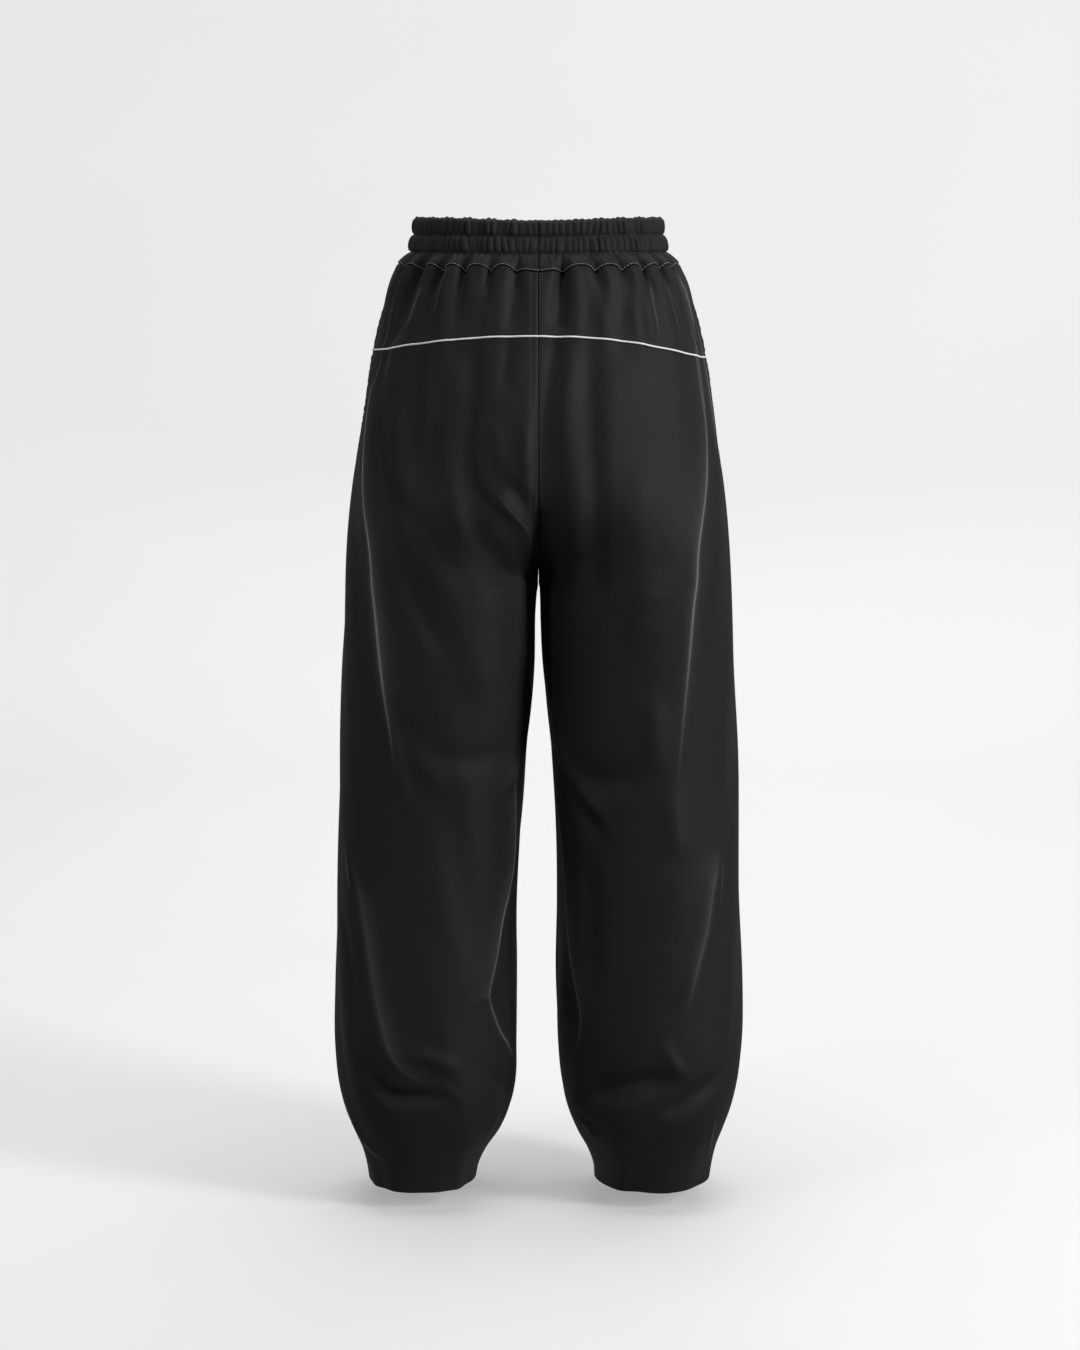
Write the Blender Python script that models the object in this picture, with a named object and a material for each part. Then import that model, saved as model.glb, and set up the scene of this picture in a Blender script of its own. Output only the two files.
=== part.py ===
"""Wide-leg sweatpants, worn and hollow, as one closed solid for each piece that is cut and sewn.

Frame: metres, +Z up, -Y the garment's back, +X the wearer's right. The origin is where the garment is held:
the middle of the elastic waistband. Heights in the tables are millimetres below the top of the waistband.

Every panel is a stretch of one skin. Round each half of the body the skin is a loop, from the centre back
over the side to the centre front. Above the fork that loop is half of a waist ring, below the crotch it is
a whole leg ring, and between them the one turns into the other. A place on it is (around, below): around is
the share of the loop, 0 at the centre back or inseam, 0.5 at the widest point and 1 at the centre front or
inseam.
"""

import math
from collections import namedtuple

import bmesh
import bpy
import numpy as np

MM = 0.001
SIDES = {"left": -1.0, "right": 1.0}

# ---- driving sizes, in millimetres ----
RIM_ABOVE_HOLD = 25.0  # from the mount up to the top of the waistband
CLOTH = 1.6  # wall of a panel
HEM_EXTRA = 1.0  # what the turned layer adds to the wall
SEAM_GAP = 0.3  # between two pieces at a seam
SQUARENESS = 2.3  # exponent of the rings: 2 is an ellipse

WAIST_SEAM = 49.5  # waistband to panels, and how far the gathers pull it up and down
SCALLOP, SCALLOP_FADE = 4.5, 40.0
RIM_DIP, RIM_DIP_WIDTH = 3.0, 60.0  # the top edge hangs a little at the centre back
RIM_FRONT_DIP = 9.0  # and more at the centre front, where the rise is lower
YOKE_MIDDLE, YOKE_SIDE = 115.7, {"left": 133.5, "right": 141.5}  # the piped seam, at the back and the sides
FORK_MIDDLE, FORK_SIDE = 215.0, 225.0  # where the seat starts to turn under
CROTCH, HEM_TOP, LENGTH = 362.0, 975.0, 1000.0

PIPING_DIAMETER = 2.4
POCKET_TOP, POCKET_END, POCKET_MOUTH = 80.0, 245.0, 1.8  # the opening in the side seam, and how far it parts
POCKET_WALL, POCKET_ROOM, POCKET_SEWN = 0.9, 2.0, 0.3
POCKET_ROWS, POCKET_COLUMNS = (2, 10), 5  # the rows and pairs of columns that the bag spans

# ---- how finely the solids are cut up ----
COLUMNS = 19  # round a panel
WHOLE_LEG = 0.999  # a row turned further than this is a leg ring
YOKE_ROWS, SEAT_ROWS, FORK_ROWS = 4, 3, 5
LEG_LEVELS = (378, 412, 454, 505, 565, 630, 700, 765, 820, 865, 900, 928, 950, 966, HEM_TOP - 2, HEM_TOP)

# The skin's cross-sections: how far out the widest point is, where the inside of each leg is, and how deep
# the garment is behind and in front of the middle.
Section = namedtuple("Section", "below outer inner_left inner_right back front")
SECTIONS = [Section(*row) for row in (
    (49.5, 143.0, 0.0, 0.0, 106.0, 105.0),
    (63.0, 150.2, 0.0, 0.0, 110.0, 108.0),
    (94.0, 159.0, 0.0, 0.0, 118.0, 113.5),
    (119.0, 164.8, 0.0, 0.0, 123.5, 116.0),
    (150.0, 171.0, 0.0, 0.0, 130.0, 118.0),
    (185.0, 177.0, 0.0, 0.0, 136.0, 119.5),
    (226.0, 183.5, 0.0, 0.0, 139.0, 120.0),
    (267.0, 189.8, 0.0, 0.0, 138.0, 119.0),
    (309.0, 194.3, 0.0, 0.0, 133.5, 117.5),
    (362.0, 198.4, 0.0, 0.0, 125.0, 115.0),
    (380.0, 199.3, 1.4, 1.4, 123.0, 113.5),
    (412.0, 200.6, 3.0, 2.6, 120.5, 111.0),
    (454.0, 202.3, 4.1, 4.5, 118.0, 108.5),
    (496.0, 203.8, 6.7, 8.0, 116.0, 106.0),
    (538.0, 205.4, 11.5, 12.0, 114.0, 103.5),
    (601.0, 207.2, 16.1, 17.0, 112.0, 100.0),
    (707.0, 209.9, 23.0, 19.5, 113.0, 94.0),
    (793.0, 212.6, 22.6, 18.6, 115.0, 90.0),
    (858.0, 212.6, 23.3, 21.3, 115.0, 89.0),
    (901.0, 208.4, 25.2, 24.9, 113.0, 88.0),
    (923.0, 203.2, 30.0, 28.7, 109.5, 86.5),
    (945.0, 195.0, 39.4, 38.1, 102.0, 84.0),
    (966.0, 186.4, 53.6, 50.0, 92.5, 80.5),
    (988.0, 181.2, 63.4, 57.8, 83.0, 77.0),
    (1000.0, 179.5, 65.8, 58.8, 79.0, 76.0),
)]

# The side seam lies a little behind the widest point, most of all under the waistband.
SeamPlace = namedtuple("SeamPlace", "below around")
SIDE_SEAM = [SeamPlace(*row) for row in (
    (49.5, 0.450),
    (90.0, 0.466),
    (137.5, 0.488),
    (250.0, 0.492),
    (1000.0, 0.492),
)]

# The waistband's three tiers, its two stitched grooves and its plain inside, down to the second groove.
# half_width is at the side, and gather is how far its cloth stands in and out of the ring.
BandRow = namedtuple("BandRow", "below half_width gather")
BAND_OUTSIDE = [BandRow(*row) for row in (
    (0.0, 125.0, 0.5),
    (2.5, 127.2, 0.8),
    (8.0, 128.3, 1.1),
    (14.0, 127.8, 1.0),
    (17.5, 126.4, 0.4),
    (21.0, 130.2, -1.0),
    (26.5, 132.6, -1.2),
    (31.5, 132.2, -1.0),
    (35.0, 130.6, 0.4),
)]
BAND_INSIDE = [BandRow(35.0, 127.4, 0.0), BandRow(1.5, 122.6, 0.0)]
LowerTierRow = namedtuple("LowerTierRow", "share bulge gather")  # share of the way down to the waist seam
BAND_LOWER_TIER = [LowerTierRow(0.35, 1.0, 1.1), LowerTierRow(0.70, -0.4, 1.0)]
BAND_DEEPER = 33.0  # how much less the band's half depth is than its half width

# Gathers run down from the waist seam. lean is their change of around over 100 mm.
Gather = namedtuple("Gather", "around lean depth width reach")
BACK_GATHERS = {
    "left": [Gather(*row) for row in (
        (0.037, -0.012, 2.6, 6.5, 70.0),
        (0.091, 0.000, 2.4, 7.0, 22.0),
        (0.156, -0.018, 2.8, 7.5, 45.0),
        (0.223, -0.006, 3.4, 8.0, 60.0),
        (0.305, 0.060, 6.5, 13.0, 75.0),
        (0.385, 0.030, 2.2, 7.0, 30.0),
    )],
    "right": [Gather(*row) for row in (
        (0.042, -0.020, 4.4, 7.5, 85.0),
        (0.114, 0.000, 2.4, 7.0, 24.0),
        (0.183, 0.005, 2.0, 7.0, 20.0),
        (0.250, 0.010, 2.6, 7.0, 40.0),
        (0.318, 0.020, 2.8, 7.0, 55.0),
        (0.385, 0.030, 2.4, 7.0, 35.0),
    )],
}
FRONT_GATHERS = [Gather(*row) for row in (
    (0.465, 0.010, 2.0, 7.0, 28.0),
    (0.530, 0.000, 2.0, 7.0, 28.0),
    (0.592, -0.005, 2.2, 7.0, 22.0),
    (0.655, -0.010, 3.0, 8.0, 34.0),
    (0.722, 0.000, 2.4, 7.0, 30.0),
    (0.785, 0.008, 3.2, 8.0, 60.0),
    (0.848, 0.000, 2.2, 7.0, 22.0),
    (0.905, 0.012, 3.4, 8.0, 65.0),
    (0.962, 0.010, 2.6, 6.5, 40.0),
)]

# The largest folds: how far each stands out of the skin (less than 0: sinks in), its half width, what share
# of its rise it has at its start and end, and its course as (around, below) places.
Fold = namedtuple("Fold", "rise width start end course")
FOLD_FADE = 0.35  # share of its length over which a fold grows from its share at the start or end
COURSE_STEPS = 16
FOLDS = {
    "left": [Fold(*row) for row in (
        (4.0, 11.0, 0.0, 0.0, ((0.416, 231), (0.357, 331), (0.328, 458), (0.298, 540), (0.308, 640))),
        (5.0, 13.0, 0.0, 0.4, ((0.406, 615), (0.381, 682), (0.342, 739), (0.320, 809), (0.285, 866))),
        (-6.0, 10.0, 0.2, 0.0, ((0.340, 882), (0.265, 891), (0.200, 889))),
        (3.5, 11.0, 0.0, 0.0, ((0.285, 838), (0.231, 852), (0.175, 876))),
        (4.0, 11.0, 0.0, 0.6, ((0.059, 534), (0.064, 648), (0.092, 725), (0.138, 789))),
        (3.5, 11.0, 0.6, 0.3, ((0.138, 789), (0.109, 827), (0.057, 862))),
        (-3.5, 18.0, 0.0, 0.0, ((0.271, 150), (0.229, 229), (0.217, 295))),
        (-5.0, 11.0, 0.0, 0.6, ((0.100, 210), (0.075, 273), (0.034, 310))),
        (3.0, 8.0, 0.0, 0.5, ((0.075, 245), (0.040, 285), (0.014, 302))),
        (3.0, 11.0, 0.0, 0.4, ((0.590, 320), (0.640, 430), (0.680, 560), (0.660, 690))),
        (4.5, 13.0, 0.0, 0.5, ((0.585, 660), (0.625, 740), (0.680, 820), (0.730, 868))),
        (-5.0, 10.0, 0.0, 0.0, ((0.660, 886), (0.745, 893), (0.830, 884))),
        (3.5, 10.0, 0.7, 0.0, ((0.985, 315), (0.930, 285), (0.870, 235))),
        (-4.0, 10.0, 0.6, 0.0, ((0.985, 345), (0.920, 325), (0.840, 300))),
        (3.5, 13.0, 0.0, 0.0, ((0.940, 540), (0.905, 640), (0.850, 740))),
    )],
    "right": [Fold(*row) for row in (
        (4.0, 11.0, 0.0, 0.0, ((0.385, 225), (0.345, 320), (0.330, 400), (0.300, 510), (0.290, 600))),
        (4.5, 12.0, 0.0, 0.5, ((0.055, 460), (0.075, 535), (0.112, 575))),
        (-4.0, 12.0, 0.4, 0.0, ((0.105, 579), (0.150, 599), (0.190, 622))),
        (3.0, 11.0, 0.0, 0.0, ((0.114, 568), (0.197, 561), (0.262, 556))),
        (4.5, 11.0, 0.0, 0.6, ((0.045, 613), (0.060, 668), (0.086, 726), (0.131, 814))),
        (3.5, 11.0, 0.6, 0.0, ((0.131, 814), (0.115, 845), (0.085, 872))),
        (-3.5, 13.0, 0.0, 0.0, ((0.150, 640), (0.160, 728), (0.172, 815))),
        (5.0, 13.0, 0.0, 0.4, ((0.372, 628), (0.353, 691), (0.315, 789), (0.280, 850))),
        (-6.0, 10.0, 0.3, 0.0, ((0.125, 866), (0.220, 880), (0.305, 881))),
        (3.0, 12.0, 0.0, 0.0, ((0.400, 855), (0.327, 886), (0.265, 907))),
        (-4.0, 16.0, 0.0, 0.0, ((0.111, 100), (0.112, 174), (0.102, 257), (0.132, 315))),
        (-5.0, 13.0, 0.0, 0.5, ((0.016, 183), (0.027, 256), (0.029, 335))),
        (3.0, 10.0, 0.0, 0.0, ((0.060, 195), (0.064, 256), (0.067, 310))),
        (3.0, 11.0, 0.0, 0.0, ((0.600, 330), (0.655, 450), (0.690, 575), (0.700, 660))),
        (4.5, 13.0, 0.0, 0.4, ((0.600, 640), (0.640, 730), (0.700, 800), (0.715, 862))),
        (-5.0, 10.0, 0.0, 0.0, ((0.690, 884), (0.770, 888), (0.860, 876))),
        (3.5, 10.0, 0.6, 0.0, ((0.985, 305), (0.925, 270), (0.880, 220))),
        (-4.0, 10.0, 0.6, 0.0, ((0.985, 340), (0.915, 332), (0.850, 312))),
        (3.5, 13.0, 0.0, 0.0, ((0.935, 560), (0.900, 660), (0.860, 765))),
    )],
}

# Colour and roughness.
BLACK = ((0.013, 0.013, 0.014, 1.0), 0.8)
WHITE = ((0.85, 0.85, 0.84, 1.0), 0.6)
PART = "sweatpants"


def column(table, name):
    return np.array([getattr(row, name) for row in table], dtype=float)


def smooth(x, y, at):
    """A smooth line through the points (x, y), read at any places between them."""
    slope = np.gradient(y, x)
    i = np.clip(np.searchsorted(x, at, side="right") - 1, 0, len(x) - 2)
    span = x[i + 1] - x[i]
    q = np.clip((at - x[i]) / span, 0.0, 1.0)
    ends = y[i] * (1 + 2 * q) * (1 - q) ** 2 + y[i + 1] * q**2 * (3 - 2 * q)
    return ends + span * (slope[i] * q * (1 - q) ** 2 - slope[i + 1] * q**2 * (1 - q))


def rounded(value):
    """A cosine or sine made as square as the rings are."""
    return np.sign(value) * np.abs(value) ** (2 / SQUARENESS)


def half_ring(sign, half_width, back, front, around):
    """Half of a waist ring, in millimetres."""
    depth = np.where(around < 0.5, back, front)
    return sign * half_width * rounded(np.sin(np.pi * around)), -depth * rounded(np.cos(np.pi * around))


def fullness(turned):
    """How much a row between a waist ring and a leg ring is let out, so that it stays as deep as they are."""
    quarter = np.linspace(0.0, 0.5, 60)
    waist, leg = rounded(np.cos(np.pi * quarter)), rounded(np.sin(2 * np.pi * quarter))
    return 1 / np.max(waist + (leg - waist) * turned, axis=-1, keepdims=True)


def skin(side, around, middle, widest, turned):
    """Points of the bare skin, in millimetres, for rows at height middle on the centre line and widest at the
    side. turned says how far a row has gone from a waist ring (0) to a leg ring (1)."""
    sign = SIDES[side]
    below = widest + (middle - widest) * np.cos(np.pi * around) ** 2
    names = ("outer", "inner_" + side, "back", "front")
    outer, inner, back, front = (smooth(column(SECTIONS, "below"), column(SECTIONS, n), below) for n in names)
    waist_x, waist_y = half_ring(sign, outer, back, front, around)
    leg_x = sign * ((outer + inner) / 2 - (outer - inner) / 2 * rounded(np.cos(2 * np.pi * around)))
    leg_y = -np.where(around < 0.5, back, front) * rounded(np.sin(2 * np.pi * around))
    x = waist_x + (leg_x - waist_x) * turned
    y = (waist_y + (leg_y - waist_y) * turned) * fullness(turned)
    return np.stack(np.broadcast_arrays(x, y, RIM_ABOVE_HOLD - below), axis=-1)


def panel_rows(side):
    """(middle, widest, turned) of each row, from the waist seam to the hem."""
    seams = (
        ((WAIST_SEAM, WAIST_SEAM), (YOKE_MIDDLE, YOKE_SIDE[side]), YOKE_ROWS),
        ((YOKE_MIDDLE, YOKE_SIDE[side]), (FORK_MIDDLE, FORK_SIDE), SEAT_ROWS),
    )
    rows = []
    for upper, lower, count in seams:
        shares = np.arange(count) / count
        rows += [(*(np.array(upper) * (1 - share) + np.array(lower) * share), 0.0) for share in shares]
    for i in range(FORK_ROWS + 1):
        turn = math.pi / 2 * i / FORK_ROWS
        middle = FORK_MIDDLE + (CROTCH - FORK_MIDDLE) * math.sin(turn)
        rows.append((middle, FORK_SIDE + (CROTCH - FORK_SIDE) * i / FORK_ROWS, 1.0 - math.cos(turn)))
    rows += [(level, level, 1.0) for level in (*LEG_LEVELS, LENGTH)]
    return np.array(rows, dtype=float)


def row_places(seam_around):
    """around of each column of a row: the back panel's, then the front panel's."""
    back = seam_around * np.linspace(0.0, 1.0, COLUMNS + 1)
    front = seam_around + (1.0 - seam_around) * np.linspace(0.0, 1.0, COLUMNS + 1)[1:]
    return np.concatenate([back, front])


def outward(points, sign, is_leg):
    """The skin's unit normals. Past its ends a leg ring runs on into itself, and a waist ring is mirrored."""
    mirror = np.array([-1.0, 1.0, 1.0])
    before = np.where(is_leg[:, None], points[:, -2], points[:, 1] * mirror)
    after = np.where(is_leg[:, None], points[:, 1], points[:, -2] * mirror)
    padded = np.concatenate([before[:, None], points, after[:, None]], axis=1)
    across = padded[:, 2:] - padded[:, :-2]
    normal = -sign * np.cross(across, np.gradient(points, axis=0))
    return normal / np.linalg.norm(normal, axis=-1, keepdims=True)


def other_side(side):
    return "left" if side == "right" else "right"


def gathers(side):
    """The half's gathers, and the other half's as they lie from here, past the centre back and front."""
    seen = list(BACK_GATHERS[side] + FRONT_GATHERS)
    for gather in BACK_GATHERS[other_side(side)] + FRONT_GATHERS:
        mirrored = -gather.around if gather.around < 0.5 else 2 - gather.around
        seen.append(gather._replace(around=mirrored, lean=-gather.lean))
    return seen


def gather_shape(side, around, below, loop):
    """How deep the gathers sink the skin, and how much of a gather there is at a place, from 0 to 1."""
    depth = share = 0.0
    under = np.maximum(below - WAIST_SEAM, 0.0)
    for gather in gathers(side):
        away = (around - gather.around - gather.lean * under / 100.0) * loop
        here = np.exp(-((away / gather.width) ** 2))
        share = share + here
        depth = depth + gather.depth * here * np.exp(-((under / gather.reach) ** 1.5))
    return depth, np.minimum(share, 1.0)


def fold_shape(points, line, fold):
    """How far a fold raises the points: a soft ridge or trough round its line, faded in and out along it."""
    nearest, along = np.full(points.shape[:-1], np.inf), np.zeros(points.shape[:-1])
    for i, (p, q) in enumerate(zip(line[:-1], line[1:])):
        span = q - p
        share = np.clip((points - p) @ span / (span @ span), 0.0, 1.0)
        away = np.linalg.norm(points - p - share[..., None] * span, axis=-1)
        closer = away < nearest
        nearest = np.where(closer, away, nearest)
        along = np.where(closer, (i + share) / (len(line) - 1), along)
    grown, left = (np.sin(np.pi / 2 * np.clip(way / FOLD_FADE, 0, 1)) ** 2 for way in (along, 1 - along))
    share = (fold.start + (1 - fold.start) * grown) * (fold.end + (1 - fold.end) * left)
    return fold.rise * share * (1 + (nearest / fold.width) ** 2) ** -1.5


class Half:
    """One half's skin: its points, the way out at each, and the places that they lie at."""

    def __init__(self, side):
        self.side, self.sign = side, SIDES[side]
        rows = panel_rows(side)
        self.widest, self.turned = rows[:, 1], rows[:, 2][:, None]
        seam = smooth(column(SIDE_SEAM, "below"), column(SIDE_SEAM, "around"), self.widest)
        self.around = np.stack([row_places(place) for place in seam])
        self.bare = skin(side, self.around, rows[:, 0][:, None], rows[:, 1][:, None], self.turned)
        self.below = RIM_ABOVE_HOLD - self.bare[..., 2]
        self.out = outward(self.bare, self.sign, self.turned[:, 0] > WHOLE_LEG)
        self.folds = [(self.line(fold.course), fold) for fold in FOLDS[side]]

    def line(self, course):
        """A fold's course as points on the skin: a smooth line through its (around, below) places."""
        knots, (arounds, belows) = np.arange(len(course)), np.transpose(course)
        fine = np.linspace(0.0, knots[-1], COURSE_STEPS)
        points = []
        for place, height in zip(smooth(knots, arounds, fine), smooth(knots, belows, fine)):
            crossed = [
                [np.interp(place, self.around[row], values[row]) for row in range(len(self.bare))]
                for values in (*np.moveaxis(self.bare, -1, 0), self.below)
            ]
            points.append([np.interp(height, crossed[3], values) for values in crossed[:3]])
        return np.array(points)

    def shape(self, other):
        """Raises the folds and sinks the gathers. Above the crotch the other half's run over the seam."""
        rise = sum(fold_shape(self.bare, line, fold) for line, fold in self.folds)
        over = sum(fold_shape(self.bare, line, fold) for line, fold in other.folds)
        rise += over * (self.turned < WHOLE_LEG)
        loop = math.pi * np.sqrt((self.bare[:, COLUMNS, 0] ** 2 + self.bare[:, 0, 1] ** 2) / 2)[:, None]
        sunk, share = gather_shape(self.side, self.around, self.below, loop)
        self.points = self.bare + self.out * (rise - sunk * (1 - self.turned))[..., None]
        near_seam = np.clip(1 - (self.below - WAIST_SEAM) / SCALLOP_FADE, 0.0, 1.0)
        self.points[..., 2] -= SCALLOP * (2 * share - 1) * near_seam

    def inside(self, depth):
        """The skin's points, moved inwards by a depth given for each row."""
        return self.points - self.out * np.reshape(depth, (-1, 1, 1))

    def clear_of_middle(self, points):
        """Keeps the two halves apart where they meet."""
        points[..., 0] = self.sign * np.maximum(self.sign * points[..., 0], SEAM_GAP / 2)
        return points


def unit(vectors):
    return vectors / np.linalg.norm(vectors, axis=-1, keepdims=True)


def trim(grid, first, last, top, bottom):
    """Draws a grid's edges back from its seams: its first and last column, then its top and bottom row."""
    moved = grid.copy()
    moved[:, 0] += unit(grid[:, 1] - grid[:, 0]) * np.reshape(first, (-1, 1))
    moved[:, -1] += unit(grid[:, -2] - grid[:, -1]) * np.reshape(last, (-1, 1))
    moved[0] += unit(grid[1] - grid[0]) * top
    moved[-1] += unit(grid[-2] - grid[-1]) * bottom
    return moved


def wall(name, outer, inner, look):
    """A closed solid between two grids of points, with the same diagonals in both."""
    height, width = outer.shape[:2]
    at = np.arange(height * width).reshape(height, width)
    a, b, c, d = at[:-1, :-1], at[1:, :-1], at[1:, 1:], at[:-1, 1:]
    sheet = np.concatenate([np.stack(t, axis=-1).reshape(-1, 3) for t in ((a, b, c), (a, c, d))])
    edge = np.concatenate([at[0, :-1], at[:-1, -1], at[-1, :0:-1], at[:0:-1, 0]])
    onward, other = np.roll(edge, -1), height * width
    halves = ((edge, onward, onward + other), (edge, onward + other, edge + other))
    faces = np.concatenate([sheet, sheet[:, ::-1] + other, *(np.stack(t, axis=-1) for t in halves)])
    return solid(name, np.concatenate([outer.reshape(-1, 3), inner.reshape(-1, 3)]), faces.tolist(), look)


def solid(name, points, faces, look):
    mesh = bpy.data.meshes.new(name)
    mesh.from_pydata((points * MM).tolist(), [], faces)
    shape = bmesh.new()
    shape.from_mesh(mesh)
    bmesh.ops.recalc_face_normals(shape, faces=shape.faces)
    shape.to_mesh(mesh)
    shape.free()
    piece = bpy.data.objects.new(name, mesh)
    bpy.data.collections[PART].objects.link(piece)
    piece.data.materials.append(material(name, *look))
    return piece


def material(name, colour, roughness):
    made = bpy.data.materials.new(name)
    made.use_nodes = True
    shader = made.node_tree.nodes["Principled BSDF"]
    shader.inputs["Base Color"].default_value = colour
    shader.inputs["Roughness"].default_value = roughness
    shader.inputs["Metallic"].default_value = 0.0
    return made


def pocket_mouth(half):
    """How far each row's side edges draw back from the side seam: further along the pocket's opening."""
    inside = (half.widest > POCKET_TOP) & (half.widest < POCKET_END)
    return SEAM_GAP / 2 + inside * (POCKET_MOUTH - SEAM_GAP) / 2


def panels(half):
    """The half's back yoke, back leg and front."""
    walls = CLOTH + HEM_EXTRA * (half.widest >= HEM_TOP)
    inner, side_gap, gap = half.inside(walls), pocket_mouth(half), SEAM_GAP / 2
    cuts = (
        ("back_yoke_", slice(0, YOKE_ROWS + 1), slice(0, COLUMNS + 1), gap, side_gap, gap),
        ("back_leg_", slice(YOKE_ROWS, None), slice(0, COLUMNS + 1), gap, side_gap, 0.0),
        ("front_", slice(0, None), slice(COLUMNS, None), side_gap, gap, 0.0),
    )
    for name, rows, columns, first, last, bottom in cuts:
        edges = [gaps[rows] if np.ndim(gaps) else gaps for gaps in (first, last)]
        faces = [trim(grid[rows, columns], *edges, gap, bottom) for grid in (half.points, inner)]
        wall(name + half.side, *(half.clear_of_middle(face) for face in faces), BLACK)


def pocket(half):
    """A flat bag behind the opening in the side seam: one sheet folded at its front end, with its outer layer
    on the front panel's inside and its inner layer reaching just under the back panel's edge."""
    rows = slice(POCKET_ROWS[0], POCKET_ROWS[1] + 1)
    middle = np.linspace(0.0, 1.0, POCKET_ROWS[1] - POCKET_ROWS[0] + 1)
    room = POCKET_SEWN + (POCKET_ROOM - POCKET_SEWN) * np.sin(np.pi * middle) ** 0.5
    near = CLOTH + 2 * SEAM_GAP
    far = near + POCKET_WALL + room

    def layer(column, depth):
        return half.points[rows, column] - half.out[rows, column] * np.reshape(depth, (-1, 1))

    def short_of_fold(depth):
        return layer(columns[-2], depth) * 0.1 + layer(columns[-1], depth) * 0.9

    columns = [COLUMNS + 2 * k for k in range(POCKET_COLUMNS + 1)]
    outside = [layer(c, near) for c in columns] + [layer(c, far + POCKET_WALL) for c in reversed(columns)]
    outside.append(layer(COLUMNS - 1, near + POCKET_WALL))
    inside = [layer(c, near + POCKET_WALL) for c in columns[:-1]] + [short_of_fold(near + POCKET_WALL)]
    inside += [short_of_fold(far)] + [layer(c, far) for c in reversed(columns[:-1])]
    inside.append(layer(COLUMNS - 1, near))
    wall("pocket_" + half.side, np.stack(outside, axis=1), np.stack(inside, axis=1), BLACK)


def doubled(ring):
    """A ring with a point added halfway between each two."""
    fine = np.repeat(ring, 2, axis=0)[:-1]
    fine[1::2] = (ring[:-1] + ring[1:]) / 2
    return fine


def all_round(right, left):
    """One ring from the centre back round by the right side, the centre front and the left side."""
    return np.concatenate([doubled(right), doubled(left)[::-1][1:]])


def waistband(halves):
    """The elastic band: a profile of three tiers for each column, two columns to a gather."""
    right, left = halves
    walls = np.full(len(right.widest), CLOTH)
    seam_out = all_round(right.points[0], left.points[0])
    seam_in = all_round(right.inside(walls)[0], left.inside(walls)[0])
    around = all_round(right.around[0], left.around[0])
    count = len(around)
    sign = np.where(np.arange(count) <= count // 2, 1.0, -1.0)

    def ring(half_width, below):
        x, y = half_ring(sign, half_width, half_width - BAND_DEEPER, half_width - BAND_DEEPER, around)
        back_dip = RIM_DIP * np.exp(-((x / RIM_DIP_WIDTH) ** 2))
        dip = np.where(around < 0.5, back_dip, RIM_FRONT_DIP * np.cos(np.pi * around) ** 2)
        low = below + dip * (1 - below / WAIST_SEAM)
        return np.stack([x, y, RIM_ABOVE_HOLD - low], axis=-1)

    middle = ring(column(BAND_OUTSIDE, "half_width").mean(), 0.0)
    onward = np.roll(middle[:-1], -1, axis=0) - np.roll(middle[:-1], 1, axis=0)
    out = unit(np.stack([onward[:, 1], -onward[:, 0], np.zeros(count - 1)], axis=-1))
    out = np.concatenate([out, out[:1]])
    step = np.arange(count)
    wave = (-1.0) ** step * (0.8 + 0.2 * np.sin(0.9 * step + 1.3 * np.sin(0.37 * step)))

    outside = [ring(row.half_width, row.below) + out * (row.gather * wave)[:, None] for row in BAND_OUTSIDE]
    groove = ring(BAND_OUTSIDE[-1].half_width, BAND_OUTSIDE[-1].below)
    seam = seam_out + np.array([0.0, 0.0, SEAM_GAP / 2])
    for row in BAND_LOWER_TIER:
        outside.append(groove + row.share * (seam - groove) + out * (row.bulge + row.gather * wave)[:, None])
    inside = [seam_in + np.array([0.0, 0.0, SEAM_GAP / 2])]
    inside += [ring(row.half_width, row.below) for row in BAND_INSIDE]
    profile = np.stack([*outside, seam, *inside], axis=1)
    profile[0, :, 0] += SEAM_GAP / 2
    profile[-1, :, 0] -= SEAM_GAP / 2

    points = profile.shape[1]
    at = np.arange(count * points).reshape(count, points)
    a, b = at[:-1], at[1:]
    c, d = np.roll(b, -1, axis=1), np.roll(a, -1, axis=1)
    faces = [np.stack(t, axis=-1).reshape(-1, 3) for t in ((a, b, c), (a, c, d))]
    ends = [at[0].tolist(), at[-1][::-1].tolist()]
    solid("waistband", profile.reshape(-1, 3), np.concatenate(faces).tolist() + ends, BLACK)


def piping(halves):
    """A cord along the yoke seam, from side seam to side seam, just proud of the cloth."""
    right, left = halves
    reach = PIPING_DIAMETER / 2 + SEAM_GAP
    lines = [(half.points + half.out * reach)[YOKE_ROWS, : COLUMNS + 1] for half in (left, right)]
    path = np.concatenate([lines[0][:0:-1], lines[1]]) * MM
    curve = bpy.data.curves.new("piping", "CURVE")
    curve.dimensions = "3D"
    curve.bevel_depth = PIPING_DIAMETER / 2 * MM
    curve.bevel_resolution = 2
    curve.use_fill_caps = True
    line = curve.splines.new("POLY")
    line.points.add(len(path) - 1)
    for place, point in zip(path, line.points):
        point.co = (*place, 1.0)
    piece = bpy.data.objects.new("piping", curve)
    bpy.data.collections[PART].objects.link(piece)
    curve.materials.append(material("piping", *WHITE))


def main():
    for old in list(bpy.data.objects):
        bpy.data.objects.remove(old, do_unlink=True)
    bpy.context.scene.collection.children.link(bpy.data.collections.new(PART))
    halves = [Half("right"), Half("left")]
    for half, other in (halves, halves[::-1]):
        half.shape(other)
    waistband(halves)
    piping(halves)
    for half in halves:
        panels(half)
        pocket(half)


main()
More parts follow.
